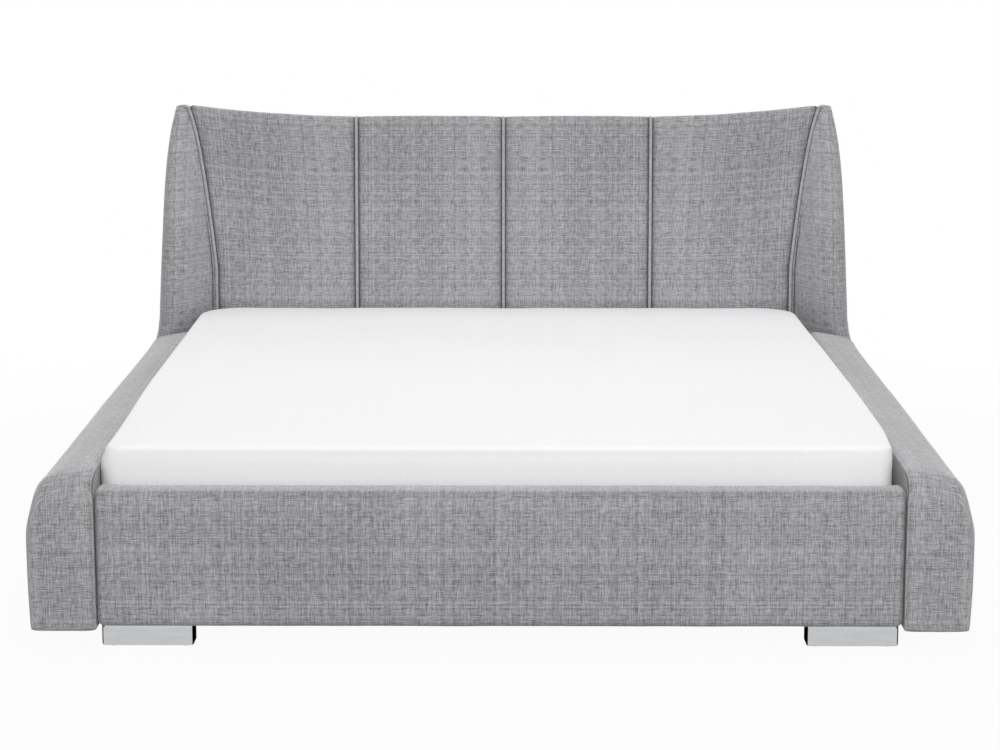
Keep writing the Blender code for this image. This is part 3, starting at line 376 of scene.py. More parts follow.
# Polyester and viscose linen weave: mid grey from pale and dark yarns with thick places, matt with a
# faint sheen where it turns away. Its yarns are about 1.2 mm wide and are drawn 1.6 mm, to show.
LINEN = woven("upholstery_linen", "4d4e50", "cdcdd0", 0.0016, 0.030, 0.88, 0.60)
# The same cloth cut on the bias and pulled tight round a cord: paler, with threads at 45 degrees
PIPING = woven("bias_piping", "828385", "cacbcd", 0.0016, 0.020, 0.30, 0.65, turn=45.0)
# Polyester knit of the mattress's upper cover: white, fine and even
KNIT = woven("mattress_knit", "f3f3f4", "f9f9fa", 0.0016, 0.010, 0.25, 0.0)
# Plain woven polyester of the lower cover: a little greyer and flatter than the knit
BASE_CLOTH = woven("cover_base_cloth", "c9cacd", "dedfe2", 0.0014, 0.030, 0.30, 0.10)
# Twisted polyester sewing thread: grey, slightly glossy
THREAD = speckled("polyester_thread", ("6d6f73", "8a8c90"), 0.004, (0.6, 0.8))
# Polished steel sheet of the front feet: a soft mirror of the pale room, drawn out along the sheet
STEEL = speckled(
    "polished_steel_sheet", ("c0c2c4", "c6c8ca"), 0.060, (0.16, 0.22), metallic=1.0, stretch=(1, 1, 4)
)
# Its ends get painted shade: matt black without reflection
paint_shade_on_foot_ends(STEEL)
# Zinc plated pressed steel: grey with the small cloudy patches of its plating
ZINC = speckled("zinc_plated_steel", ("9a9da1", "b8babd", "c6c8c6"), 0.006, (0.28, 0.45), metallic=1.0)
# Raw chipboard: straw colour with darker chips, matt and slightly rough
CHIPBOARD = speckled(
    "raw_chipboard", ("8a6a42", "b08e5e", "c8aa7a", "d9c297"), 0.006, (0.75, 0.95),
    bump=0.0004, detail=5.0, spread=(0.30, 0.70),
)
# Rotary-cut birch plywood: pale yellow with layers that show at its edges
PLYWOOD = speckled(
    "birch_plywood", ("b08a5a", "c9a677", "d6b98c"), 0.020, (0.55, 0.75), bump=0.0002,
    stretch=(1, 0.6, 12),
)
# Chipboard faced with black melamine: nearly black with a low, even gloss
LAMINATE = speckled("black_melamine_board", ("0e0e0f", "1a1a1b"), 0.004, (0.35, 0.50), bump=0.0001)
# Cut polyether foam: pale blue, dead matt, with open cells
FOAM = speckled(
    "open_cell_foam", ("b9cdd8", "d3e0e6", "e6eef1"), 0.0022, (0.9, 1.0), bump=0.0008, detail=2.0
)
# Calendered soft vinyl of the water bladders: blue, softly glossy, with shallow swellings
VINYL = speckled("blue_water_vinyl", ("27486f", "2f5583", "3a6496"), 0.10, (0.28, 0.42), bump=0.0006)
# Thinner vinyl sheet of the safety liner: grey blue, softly glossy
LINER = speckled("liner_vinyl", ("8e9aa8", "a3aebb"), 0.05, (0.30, 0.45), bump=0.0004)
# Welded vinyl envelope of a heater: dark grey with a fine grain
HEATER = speckled("heater_vinyl", ("3a3c40", "4a4c51"), 0.003, (0.45, 0.60), bump=0.0002)
# Moulded polypropylene caps: off white, satin
CAP = speckled("moulded_cap_plastic", ("d8d8d6", "e4e4e2"), 0.010, (0.30, 0.42), bump=0.0001)
# Moulded nylon of the glides: dark grey, satin
NYLON = speckled("grey_moulded_nylon", ("3c3d3f", "4a4b4d"), 0.004, (0.40, 0.55))
# Nylon coil of the zip: pale grey and slightly glossy
TEETH = speckled("zip_coil_nylon", ("b4b6b9", "cfd1d3"), 0.002, (0.35, 0.50))


# Building helpers
def smooth_step(value, low, high):
    """0 up to low, 1 from high, and an even curve between."""
    share = np.clip((value - low) / (high - low), 0.0, 1.0)
    return share * share * (3 - 2 * share)


def quarter_turn(steps):
    """Cosine and sine at even steps through a quarter turn."""
    return [(math.cos(turn), math.sin(turn)) for turn in np.linspace(0, math.pi / 2, steps + 1)]


def run_length(points):
    """Distance along a row of points."""
    steps = np.linalg.norm(np.diff(points, axis=0), axis=1)
    return np.concatenate(([0.0], np.cumsum(steps)))


def put(name, mesh, finish):
    """A new object at the origin for a mesh, in its finish."""
    mesh.materials.append(finish)
    made = bpy.data.objects.new(name, mesh)
    scene.collection.objects.link(made)
    return made


def outwards(mesh):
    """Turns every face of a closed mesh outwards."""
    shape = bmesh.new()
    shape.from_mesh(mesh)
    bmesh.ops.recalc_face_normals(shape, faces=shape.faces)
    shape.to_mesh(mesh)
    shape.free()


def loft(name, loops, finish, anchor=0, spine=0, flat_rows=0, end_rows=0, side=1, open_ends=False):
    """A closed skin through loops of as many points. The cloth's threads follow the loops: u is the
    distance round a loop from its anchor point, v the distance along the spine column. The faces
    of the first flat_rows rows lie flat and read straight threads that join the anchor's, and from
    there each column keeps its own length, up to the last full loop before end_rows close it."""
    loops = np.array(loops, float)
    loops[:, :, 0] *= side
    rows, columns = loops.shape[:2]
    closed = np.concatenate([loops, loops[:, :1]], axis=1)
    across = np.array([run_length(loop) for loop in closed])
    across -= across[:, anchor : anchor + 1]
    along = run_length(loops[:, spine])[:, None] + np.zeros_like(across)
    threads = planar = np.stack([across, along], axis=2)
    if flat_rows:
        paths = np.linalg.norm(np.diff(closed, axis=0), axis=2)
        paths = np.concatenate([np.zeros((1, columns + 1)), np.cumsum(paths, axis=0)])
        full = rows - 1 - end_rows
        threads[:, :, 1] = paths - (paths[full] - along[full, 0])
        start = loops[flat_rows, anchor]
        level = closed[:, :, 2] - start[2] + along[flat_rows, 0]
        planar = np.stack([side * (closed[:, :, 0] - start[0]), level], axis=2)
    faces, corners = [], []
    for row in range(rows - 1):
        source = planar if row < flat_rows else threads
        for column in range(columns):
            ahead = (column + 1) % columns
            low, high = row * columns, (row + 1) * columns
            faces.append((low + column, low + ahead, high + ahead, high + column))
            corners += [source[row, column], source[row, column + 1]]
            corners += [source[row + 1, column + 1], source[row + 1, column]]
    for row, source in () if open_ends else ((0, planar), (rows - 1, threads)):
        faces.append(tuple(row * columns + column for column in range(columns)))
        corners += [source[row, column] for column in range(columns)]
    mesh = bpy.data.meshes.new(name)
    mesh.from_pydata(loops.reshape(-1, 3).tolist(), [], faces)
    cloth = mesh.uv_layers.new(name="cloth")
    cloth.data.foreach_set("uv", np.array(corners, np.float32).ravel())
    outwards(mesh)
    mesh.shade_smooth()
    return put(name, mesh, finish)


def toward_middle(loop, shares, lift=(0.0, 0.0, 0.0)):
    """Loops that close a flat end evenly, drawn in towards its middle."""
    loop = np.array(loop, float)
    middle = loop.mean(axis=0)
    made = []
    for share in shares:
        bulge = np.array(lift) * (1 - share**2)
        made.append(middle + (loop - middle) * share + bulge)
    return made


def points_of(piece):
    found = np.zeros(len(piece.data.vertices) * 3, np.float32)
    piece.data.vertices.foreach_get("co", found)
    return found.reshape(-1, 3).astype(float)


def set_points(piece, points):
    piece.data.vertices.foreach_set("co", np.array(points, np.float32).ravel())
    piece.data.update()


def normals_of(piece):
    found = np.zeros(len(piece.data.vertices) * 3, np.float32)
    piece.data.vertex_normals.foreach_get("vector", found)
    return found.reshape(-1, 3).astype(float)


def pushed_out(piece, amount):
    """Moves each point of a piece along its normal by its own amount."""
    set_points(piece, points_of(piece) + normals_of(piece) * amount[:, None])


def sharp_from(piece, degrees):
    """Smooth shading that breaks at edges sharper than an angle."""
    piece.data.shade_smooth()
    piece.data.set_sharp_from_angle(angle=math.radians(degrees))


def baked(piece):
    """Turns a piece's modifiers into its mesh."""
    graph = bpy.context.evaluated_depsgraph_get()
    mesh = bpy.data.meshes.new_from_object(
        piece.evaluated_get(graph), preserve_all_data_layers=True, depsgraph=graph
    )
    piece.modifiers.clear()
    piece.data = mesh


def subdivided(piece):
    """Rounds a piece's facets once."""
    rounding = piece.modifiers.new("rounding", "SUBSURF")
    rounding.levels = 1
    rounding.render_levels = 1
    baked(piece)


# How firmly foam fills a cover, over how many steps of the simulation, and how far it may push out
STUFFING_PRESSURE = 4.0
STUFFING_STEPS = 20
PAD_SWELL = 0.004
FRAME_SWELL = 0.003
BOARD_SWELL = 0.0025
BED_SWELL = 0.002

# Height of the puckers along the seams of the pads and of the frame's covers
PAD_PUCKER = 0.0007
FRAME_PUCKER = 0.0006


def puffed(piece, free, most):
    """Lets the foam push the cloth out where free is above 0, by up to most metres."""
    start = points_of(piece)
    held = piece.vertex_groups.new(name="held")
    for index, loose in enumerate(free):
        held.add([index], 1.0 - float(loose), "REPLACE")
    cloth = piece.modifiers.new("stuffing", "CLOTH")
    settings = cloth.settings
    settings.quality = 5
    settings.mass = 0.4
    settings.tension_stiffness = 25.0
    settings.compression_stiffness = 10.0
    settings.bending_stiffness = 2.0
    settings.use_pressure = True
    settings.uniform_pressure_force = STUFFING_PRESSURE
    settings.vertex_group_mass = "held"
    settings.effector_weights.gravity = 0.0
    cloth.point_cache.frame_start = 1
    cloth.point_cache.frame_end = STUFFING_STEPS
    for step in range(1, STUFFING_STEPS + 1):
        scene.frame_set(step)
    graph = bpy.context.evaluated_depsgraph_get()
    stuffed = piece.evaluated_get(graph)
    moved = np.zeros(len(start) * 3, np.float32)
    stuffed.data.vertices.foreach_get("co", moved)
    piece.modifiers.clear()
    piece.vertex_groups.clear()
    scene.frame_set(1)
    move = moved.reshape(-1, 3) - start
    length = np.maximum(np.linalg.norm(move, axis=1), 1e-9)
    allowed = most * np.tanh(length / most)
    set_points(piece, start + move * (allowed / length)[:, None])


# Waves of a hand-smoothed surface: turns per metre one way and the other, and where each starts
WAVES = ((61, 13, 0.3), (97, -29, 1.9), (143, 41, 4.1), (211, -57, 2.6), (37, 71, 5.2))


def ripple(a, b):
    """An even, repeatable waviness from about -1 to 1 over two lengths in metres."""
    total = 0.0
    for wave, (x, y, start) in enumerate(WAVES):
        total = total + np.sin(a * x + b * y + start) / (1 + 0.35 * wave)
    return total / 2.6


def mark_seams_and_painted_shade(piece, nearness_and_shade):
    """Keeps a mark for each point, 0 to 1, mostly how near it is to a seam; the cloth is darkened by
    it as painted shade, and puckers follow it.
    """
    seam = piece.data.attributes.new("seam", "FLOAT", "POINT")
    seam.data.foreach_set("value", np.array(nearness_and_shade, np.float32))


def settled(piece, body, nodes=()):
    """Rides on its body and stands for its nodes, which it hides."""
    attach(piece, body)
    if nodes:
        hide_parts(*nodes)


def cord(name, path):
    """A piped cord along a path, its bias-cut cloth read round and along it."""
    path = np.array(path, float)
    ways = np.gradient(path, axis=0)
    ways /= np.linalg.norm(ways, axis=1)[:, None]
    start = np.array((1.0, 0.0, 0.0)) if abs(ways[0][0]) < 0.9 else np.array((0.0, 1.0, 0.0))
    angles = np.linspace(0, 2 * math.pi, 14, endpoint=False)[:, None]
    loops = []
    for place, way in zip(path, ways):
        start = start - way * (start @ way)
        start /= np.linalg.norm(start)
        other = np.cross(way, start)
        loops.append(place + CORD_RADIUS * (np.cos(angles) * start + np.sin(angles) * other))
    return loft(name, loops, PIPING)


def resampled(path, spacing):
    """The same path in even steps."""
    path = np.array(path, float)
    length = run_length(path)
    count = max(int(length[-1] / spacing), 2)
    at = np.linspace(0, length[-1], count + 1)
    return np.stack([np.interp(at, length, path[:, axis]) for axis in range(3)], axis=1)


def eased(path):
    """The same path with its corners rounded."""
    path = np.array(path, float)
    for _ in range(3):
        quarter = path[:-1] * 0.75 + path[1:] * 0.25
        three = path[:-1] * 0.25 + path[1:] * 0.75
        path = np.concatenate([path[:1], np.stack([quarter, three], axis=1).reshape(-1, 3), path[-1:]])
    return path


def rounded_loop(corners, arc_points, side_steps):
    """Points round a four-cornered outline: an arc at each corner, from its middle, its start in
    half turns and its radius, and even steps along the sides, in turn the first and second count."""
    arcs = []
    for across, up, turn, radius in corners:
        angles = np.linspace(turn * math.pi, (turn + 0.5) * math.pi, arc_points)
        arcs.append([(across + radius * math.cos(a), up + radius * math.sin(a)) for a in angles])
    points = []
    for index, arc in enumerate(arcs):
        points += arc
        start, target = np.array(arc[-1]), np.array(arcs[(index + 1) % 4][0])
        for share in np.linspace(0, 1, side_steps[index % 2] + 1)[1:-1]:
            points.append(tuple(start + (target - start) * share))
    return points


def block(name, low, high, finish=None):
    """A plain block with two opposite corners given."""
    floor = ((low[0], low[1]), (high[0], low[1]), (high[0], high[1]), (low[0], high[1]))
    return loft(name, [[(x, y, z) for x, y in floor] for z in (low[2], high[2])], finish or LINEN)


def board_slot(board, open_to=None):
    """The room that a board takes in its cover, open below and, for a rail, at its head end."""
    low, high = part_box(board)
    corner = (low[0] - TOUCH, low[1] - TOUCH, -OVERRUN)
    return block("board_slot", corner, (high[0] + TOUCH, open_to or high[1] + TOUCH, high[2] + TOUCH))


def combined(piece, other, operation):
    """Cuts the other shape out of a piece, or joins it on."""
    change = piece.modifiers.new("change", "BOOLEAN")
    change.operation = operation
    change.object = other
    change.solver = "EXACT"
    baked(piece)
    bpy.data.objects.remove(other)
    sharp_from(piece, 50)


def row_and_column(loops):
    """Which loop each point of a loft is on, and its place round that loop."""
    count = np.arange(len(loops) * len(loops[0]))
    return count // len(loops[0]), count % len(loops[0])


def pucker(piece, height):
    """Small puckers where the cloth is drawn down to a seam, and a faint unevenness elsewhere."""
    points = points_of(piece)
    seam = np.zeros(len(points), np.float32)
    piece.data.attributes["seam"].data.foreach_get("value", seam)
    near = np.clip(seam, 0, 1) * (1 - np.clip(seam, 0, 1)) * 4
    wave = ripple(points[:, 2] * 3.1 + points[:, 0] * 1.3, points[:, 1] * 2.9)
    slow = ripple(points[:, 0] * 0.22, points[:, 2] * 0.31 + points[:, 1] * 0.27)
    pushed_out(piece, near * wave * height + slow * height * 0.8)


def upholstered(piece, nearness_and_shade, loose, swell, puckers, node, board=None, open_to=None):
    """Marks a cover's seams and painted shade, lets its foam swell, puckers it and cuts the slot for
    its board.
    """
    mark_seams_and_painted_shade(piece, nearness_and_shade)
    puffed(piece, loose, swell)
    subdivided(piece)
    pucker(piece, puckers)
    if board:
        combined(piece, board_slot(board, open_to), "DIFFERENCE")
    settled(piece, "bed", [node])


# Headboard
def seam_plane(z):
    """How far back the pads' seams lie at a height; the face leans back a little."""
    return SEAM_PLANE + LEAN * (z - BED_TOP)


def core_plane(z):
    return seam_plane(z) + PAD_DEPTH


def top_edge(x):
    """Height of the headboard's top, level in the middle and rising to its tips."""
    share = np.clip((abs(x) - TOP_LEVEL_HALF) / TOP_RISE_LENGTH, 0.0, 1.0)
    return TOP_MIDDLE + (TOP_TIP - TOP_MIDDLE) * share**2.1


def seam_x(z):
    """How far out the curved seam is at a height: it sweeps outwards and flicks at its tip."""
    share = np.maximum((z - SEAM_SWEEP_FROM) / (TOP_TIP - SEAM_SWEEP_FROM), 0.0)
    return SEAM_FOOT + SEAM_SWEEP * share**1.2 + SEAM_FLICK * share**8


def seam_stretch(z):
    """How much longer a level cut across the curved seam is than a cut square to it."""
    step = 0.004
    return math.hypot(1.0, float(seam_x(z + step) - seam_x(z - step)) / (2 * step))


PAD_ROWS = 64
ARC_ROWS = 7
SHELF_ROWS = 5


def pad_rows(top):
    """Outer line, direction inwards and inner line of a pad in Y and Z, up its front, over its top
    edge and back."""
    edge = top - TOP_ROUND
    squeeze_from = PAD_FOOT + 0.8 * (edge - PAD_FOOT)
    squeeze = (CORE_TOP - TOP_ROUND - squeeze_from) / (edge - squeeze_from)
    rows = []
    for z in np.linspace(PAD_FOOT, edge, PAD_ROWS):
        inner = min(z, squeeze_from + squeeze * (z - squeeze_from))
        rows.append(((seam_plane(z), z), (1.0, 0.0), (core_plane(inner), inner)))
    shelf = CORE_TOP + TOUCH
    corner = core_plane(shelf) + TOP_ROUND / 2
    low_z = CORE_TOP - TOP_ROUND
    low_y = core_plane(low_z)
    start = seam_plane(edge) + TOP_ROUND
    for step, (along, up) in enumerate(quarter_turn(ARC_ROWS)[1:], 1):
        share = step / ARC_ROWS
        inner = (low_y + (corner - low_y) * share, low_z + (shelf - low_z) * min(1.4 * share, 1.0))
        rows.append(((start - TOP_ROUND * along, edge + TOP_ROUND * up), (along, -up), inner))
    split = core_plane(TOP_EDGE)
    stations = [(start + split) / 2, split - TOUCH]
    stations += list(np.linspace(split + TOUCH, BACK - REAR_HEM, SHELF_ROWS))
    for y in stations:
        fall = REAR_FALL * (y - start) / (BACK - start)
        rows.append(((y, top - fall), (0.0, -1.0), (max(y, corner), shelf)))
    rows.append(((BACK, top - REAR_DROP), (0.0, -1.0), (BACK, shelf)))
    rows.append(((BACK, top - REAR_DROP - REAR_HEM), (0.0, -1.0), (BACK, shelf + REAR_HEM)))
    return rows


# Across a pad: places of its columns and of the points behind it, and how a lip runs into a seam
PAD_SHARES = 0.5 - 0.5 * np.cos(math.pi * np.linspace(0.07, 0.93, 30))
BACK_SHARES = (0.0, 0.006, 0.06, 0.3, 0.7, 0.94, 0.994)
LIPS = ((SEAM_HALF, CORD_SINK + GROOVE), (0.0034, CORD_SINK + 0.0034), (GROOVE, CORD_SINK))


def crown_of(distance, share, most):
    """How far a channel stands out: a quick roll off its seam, then a slow crown."""
    roll = 1 - np.exp(-distance / SEAM_ROLL)
    return most * (ROLL_SHARE * roll + (1 - ROLL_SHARE) * np.sin(math.pi * share) ** 0.8)


def pushed(row, depth, lift=0.0):
    """A pad's outer line moved inwards by depth and up by lift, in Y and Z."""
    (y, z), (inward_y, inward_z), _ = row
    return y + inward_y * depth, z + lift + inward_z * depth


def headboard_pad(word, near, far, curved, side):
    """One upright channel of linen over foam; curved where its outer seam sweeps to the tip."""
    far_top = float(seam_x(TOP_EDGE)) if curved else far
    columns = [pad_rows(top_edge(near + share * (far_top - near))) for share in PAD_SHARES]
    rows = zip(pad_rows(top_edge(near)), pad_rows(TOP_TIP if curved else top_edge(far)))
    loops, free, nearness_and_shade = [], [], []
    for index, (near_row, far_row) in enumerate(rows):
        level = min(far_row[0][1], TOP_EDGE)
        behind = curved and near_row[0][0] > core_plane(TOP_EDGE)
        swept = curved and not behind
        far_x = float(seam_x(level)) if curved else far
        if behind:
            far_x = CORE_HALF
        slope = seam_stretch(level) if swept else 1.0
        on_top = smooth_step(index, PAD_ROWS - 2, PAD_ROWS + ARC_ROWS)
        most = PAD_CROWN * (1 - on_top) + TOP_CROWN * on_top
        sunk = 1.0 if index < PAD_ROWS else 0.0
        # Each spot is a point, how freely it swells and how near it is to a seam, which also sets its
        # painted shade
        spots = [((near + SEAM_HALF, *near_row[2]), 0.0, sunk)]
        spots += [((near + out, *pushed(near_row, depth)), 0.0, 1.0) for out, depth in LIPS]
        for column, share in zip(columns, PAD_SHARES):
            x = near + share * (far_x - near)
            lift = top_edge(x) - top_edge(near + share * (far_top - near)) if behind else 0.0
            distance = min(x - near, far_x - x) - GROOVE
            rise = crown_of(max(distance, 0.0), share, most)
            loose = smooth_step(distance, 0.0, SEAM_HOLD) * smooth_step(index, 0, 4)
            loose *= 1 - smooth_step(index, PAD_ROWS - 4, PAD_ROWS + 3)
            close = math.exp(-max(distance, 0.0) / SEAM_SHADE)
            spots.append(((x, *pushed(column[index], -rise, lift)), loose, close))
        lift = top_edge(CORE_HALF) - TOP_TIP if behind else 0.0
        for out, depth in reversed(LIPS):
            spots.append(((far_x - out * slope, *pushed(far_row, depth, lift)), 0.0, 1.0))
        back_y, back_z = far_row[2]
        back_x = float(seam_x(min(back_z, TOP_EDGE))) if swept else far_x
        first, last = np.array(spots[0][0]), np.array((back_x - SEAM_HALF, back_y, back_z))
        spots += [(tuple(last + (first - last) * share), 0.0, sunk) for share in BACK_SHARES]
        loops.append([place for place, _, _ in spots])
        free += [loose for _, loose, _ in spots]
        nearness_and_shade += [close for _, _, close in spots]
    middle = len(PAD_SHARES) // 2
    pad = loft(f"channel_pad_{word}", loops, LINEN, anchor=middle, spine=middle, side=side)
    upholstered(pad, nearness_and_shade, free, PAD_SWELL, PAD_PUCKER, f"headboard_pad_{word}")


def seam_line(x, curved=False):
    """Path of a cord up its seam and over the top edge."""
    rows = pad_rows(TOP_TIP if curved else top_edge(x))
    return [
        (float(seam_x(row[0][1])) if curved else x, *pushed(row, CORD_SINK))
        for row in rows[: PAD_ROWS if curved else len(rows) - 1]
    ]


def piping(word, path):
    """The cord of one seam."""
    made = cord(f"piped_seam_{word}", resampled(path, CORD_STEP))
    settled(made, "bed", [f"piping_{word}"])


def curved_piping(word, side):
    """The cord of a curved seam, which bends over its wing's tip and runs to the back."""
    x = float(seam_x(TOP_EDGE))
    y = seam_plane(TOP_EDGE) + CORD_SINK
    crest = HORN_TOP + CORD_RADIUS + TOUCH
    tip = wing_outer(HORN_TOP) - CORD_RADIUS
    edge = tip + 0.8 * CORD_RADIUS
    low = crest - 2.2 * CORD_RADIUS
    over = [
        (x + CORD_RADIUS / 3, y + TOUCH, HORN_TOP - CORD_RADIUS),
        (x + CORD_RADIUS, y + TOUCH, crest - 0.8 * CORD_RADIUS),
        (x + 2.2 * CORD_RADIUS, y + CORD_RADIUS / 2, crest - 0.2 * CORD_RADIUS),
        ((x + tip) / 2 + CORD_RADIUS, y + 1.5 * CORD_RADIUS, crest - 0.3 * CORD_RADIUS),
        (tip + CORD_RADIUS / 3, y + 3 * CORD_RADIUS, crest - 1.2 * CORD_RADIUS),
        (edge, y + 6 * CORD_RADIUS, low),
        (edge, y + 12 * CORD_RADIUS, low),
        (edge, BACK - 0.001, low),
    ]
    path = eased(seam_line(0.0, curved=True) + over)
    piping(f"{word}_curved", path * np.array((side, 1, 1)))


# Wings
def wing_outer(z):
    """How far out a wing's side is at a height: tucked in above the rail, then drawing in."""
    tuck = WING_TUCK * float(smooth_step(z, RAIL_TOP - 0.130, RAIL_TOP + 0.040))
    rise = max((z - RAIL_TOP - 0.020) / (TOP_TIP - RAIL_TOP - 0.020), 0.0)
    return BED_HALF - tuck - WING_DRAW * rise - WING_FLICK * rise**5.5


def wing_front(z):
    """How far forward a wing reaches at a height: from the rail's end back to its tip."""
    low = RAIL_END + TOUCH
    high = seam_plane(HORN_TOP) - 0.006
    rise = max((z - RAIL_TOP) / (HORN_TOP - RAIL_TOP), 0.0)
    return low + (high - low) * rise**1.35


def wing_section(z, inset=0.0):
    """Level cut through a wing; its corners behind the pad stay below the headboard's top."""
    seam = float(seam_x(min(z, TOP_EDGE)))
    stretch = seam_stretch(min(z, TOP_EDGE))
    outer, inner = wing_outer(z) - inset, CORE_HALF + TOUCH
    limit = top_edge(inner) - 0.006
    low_z = z - (HORN_TOP - limit) * float(smooth_step(z, 0.798, HORN_TOP))
    core = core_plane(z) + 2 * TOUCH
    points = [(inner, core, low_z), (seam + SEAM_HALF, core, z)]
    points += [(seam + out * stretch + inset, seam_plane(z) + depth, z) for out, depth in LIPS]
    crease_x = seam + WING_CREASE * stretch + inset
    crease_y = seam_plane(z) - WING_CREASE_RISE + inset
    front = min(wing_front(z), crease_y - WING_CREASE_RISE) + inset
    ridge = crease_x + WING_RIDGE_SHARE * (outer - crease_x)
    side_y = front + WING_TURN_SHARE * (outer - crease_x)
    groove = WING_CREASE_DEPTH * (1 - float(smooth_step(z, 0.66, 0.77)))
    points += [(crease_x - 0.0013, crease_y, z), (crease_x, crease_y + groove, z)]
    for share in np.linspace(0.03, 1, 15):
        bow = 1.4 * share * (1 - share) + share**2
        x = crease_x + bow * (ridge - crease_x)
        points.append((x, front + (crease_y - front) * (1 - share) ** 2, z))
    for along, across in quarter_turn(9)[1:]:
        points.append((ridge + (outer - ridge) * across, side_y + (front - side_y) * along, z))
    rear = BACK - inset
    end, edge = rear - WING_CORNER, outer - WING_CORNER
    for share in (0.12, 0.3, 0.5, 0.7, 0.88):
        points.append((outer, side_y + (end - side_y) * share, z))
    points += [(edge + WING_CORNER * x, end + WING_CORNER * y, z) for x, y in quarter_turn(4)]
    for share in (0.2, 0.4, 0.6, 0.8, 1.0):
        points.append((edge + (inner - edge) * share, rear, z + (low_z - z) * share))
    for share in (0.33, 0.66):
        points.append((inner, rear + (core_plane(z) - rear) * share, low_z))
    return points


def wing(word, side):
    """Padded wing of the headboard, drawn up into a tip, with the slot for its board."""
    loops = [wing_section(z) for z in np.linspace(RAIL_FOOT, RAIL_TOP - 0.05, 10)]
    loops += [wing_section(z) for z in np.linspace(RAIL_TOP - 0.03, TOP_EDGE, 58)]
    tip = HORN_TOP - TOP_EDGE
    for along, up in quarter_turn(6)[1:]:
        loops.append(wing_section(TOP_EDGE + tip * up, tip * (1 - along)))
    loops = [*toward_middle(loops[0], (0.1, 0.5, 0.9)), *loops]
    top = len(loops)
    loops += toward_middle(loops[-1], (0.85, 0.6, 0.35, 0.1))
    made = loft(f"wing_cover_{word}", loops, LINEN, anchor=21, spine=21, side=side)
    row, column = row_and_column(loops)
    loose = smooth_step(row, 12, 18) * (1 - smooth_step(row, top - 12, top - 6))
    loose = loose * smooth_step(column, 8, 12) * (1 - smooth_step(column, 36, 40))
    # Painted shade in the seam's hidden groove and down the crease; the same marks set the puckers
    near = np.where(column < 4, 1.0, np.where(column == 4, 0.4, 0.0)) * (row <= top)
    crease_shade = np.exp(-np.abs(column - 6) / 0.4) * (1 - smooth_step(row, 34, 50)) * (row > 12)
    upholstered(
        made, np.maximum(near, crease_shade), loose, FRAME_SWELL, FRAME_PUCKER,
        f"headboard_wing_{word}", board=f"wing_board_{word}",
    )


# Rails and footboard
def rounded_outline(points):
    """A closed outline with its corners cut twice, into a smooth one."""
    points = np.array(points, float)
    for _ in range(2):
        ahead = np.roll(points, -1, axis=0)
        points = np.stack([points * 0.75 + ahead * 0.25, points * 0.25 + ahead * 0.75], axis=1)
        points = points.reshape(-1, 2)
    return points


RAIL_SHAPE = rounded_outline(RAIL_OUTLINE_SHARES)


def drawn_in(distance, radius):
    """How far a rounded edge is drawn in at a distance from its end."""
    if distance >= radius:
        return 0.0
    return radius - math.sqrt(radius**2 - (radius - distance) ** 2)


def rail_section(y):
    """Outline of a rail at a distance from its foot end, which is rolled over."""
    top_drop, side_drop = drawn_in(y, RAIL_NOSE), drawn_in(y, RAIL_CORNER)
    across, up = RAIL_SHAPE[:, 0], RAIL_SHAPE[:, 1]
    upper, lower = np.maximum(2 * up - 1, 0.0), np.maximum(1 - 2 * up, 0.0)
    x = WELL_HALF + across * (BED_HALF - WELL_HALF - side_drop)
    z = RAIL_FOOT + up * (RAIL_TOP - RAIL_FOOT) - upper * top_drop + lower * side_drop
    return np.stack([x, np.full(len(x), FRONT + y), z], axis=1)


def rail(word, side):
    """Padded cover of a side rail, rolled over at its foot end, with the slot for its board."""
    stations = [RAIL_NOSE * (1 - along) for along, _ in quarter_turn(11)]
    stations += list(np.linspace(RAIL_NOSE, RAIL_END - FRONT, 78)[1:])
    loops = [rail_section(y) for y in stations]
    loops[-1][:, 1] = RAIL_END
    front = toward_middle(loops[0], (0.04, 0.2, 0.4, 0.6, 0.8, 0.93), (0, -0.0015, 0))
    end = toward_middle(loops[-1], (0.7, 0.3, 0.05))
    skin = [*front, *loops, *end]
    columns, ridge = len(loops[0]), int(np.argmax(RAIL_SHAPE[:, 1]))
    made = loft(
        f"rail_upholstery_{word}", skin, LINEN, anchor=ridge, spine=ridge,
        flat_rows=len(front), end_rows=len(end), side=side,
    )
    row, column = row_and_column(skin)
    first, last = len(front), len(skin) - len(end)
    size = (BED_HALF - WELL_HALF, RAIL_TOP - RAIL_FOOT)
    from_seam = np.linalg.norm((RAIL_SHAPE - RAIL_SEAM_SHARES) * size, axis=1)
    loose = smooth_step(row, first + 3, first + 14) * (1 - smooth_step(row, last - 6, last - 1))
    loose = loose * ((column > np.argmin(from_seam) + 2) & (column < columns - 12))
    # Painted shade along the inner seam, at the head end and along the hem; the same marks set the
    # puckers
    near = np.exp(-from_seam[column] / 0.0022) * smooth_step(row, first, first + 4)
    near = np.maximum(near, np.exp(-(last - 1 - row) / 0.8) * (row < last))
    spots = np.array(skin).reshape(-1, 3)
    hem = np.hypot(spots[:, 1] - FRONT, spots[:, 2] - RAIL_FOOT)
    near = np.maximum(near, 0.6 * np.exp(-hem / 0.003))
    # Painted shade over the inner face, which light hardly reaches beside the mattress
    near = np.maximum(near, 0.85 * (spots[:, 0] < WELL_HALF + 0.001) * (row > first))
    upholstered(
        made, np.clip(near, 0, 1), loose, FRAME_SWELL, FRAME_PUCKER,
        f"rail_cover_{word}", board=f"rail_board_{word}", open_to=RAIL_END + OVERRUN,
    )


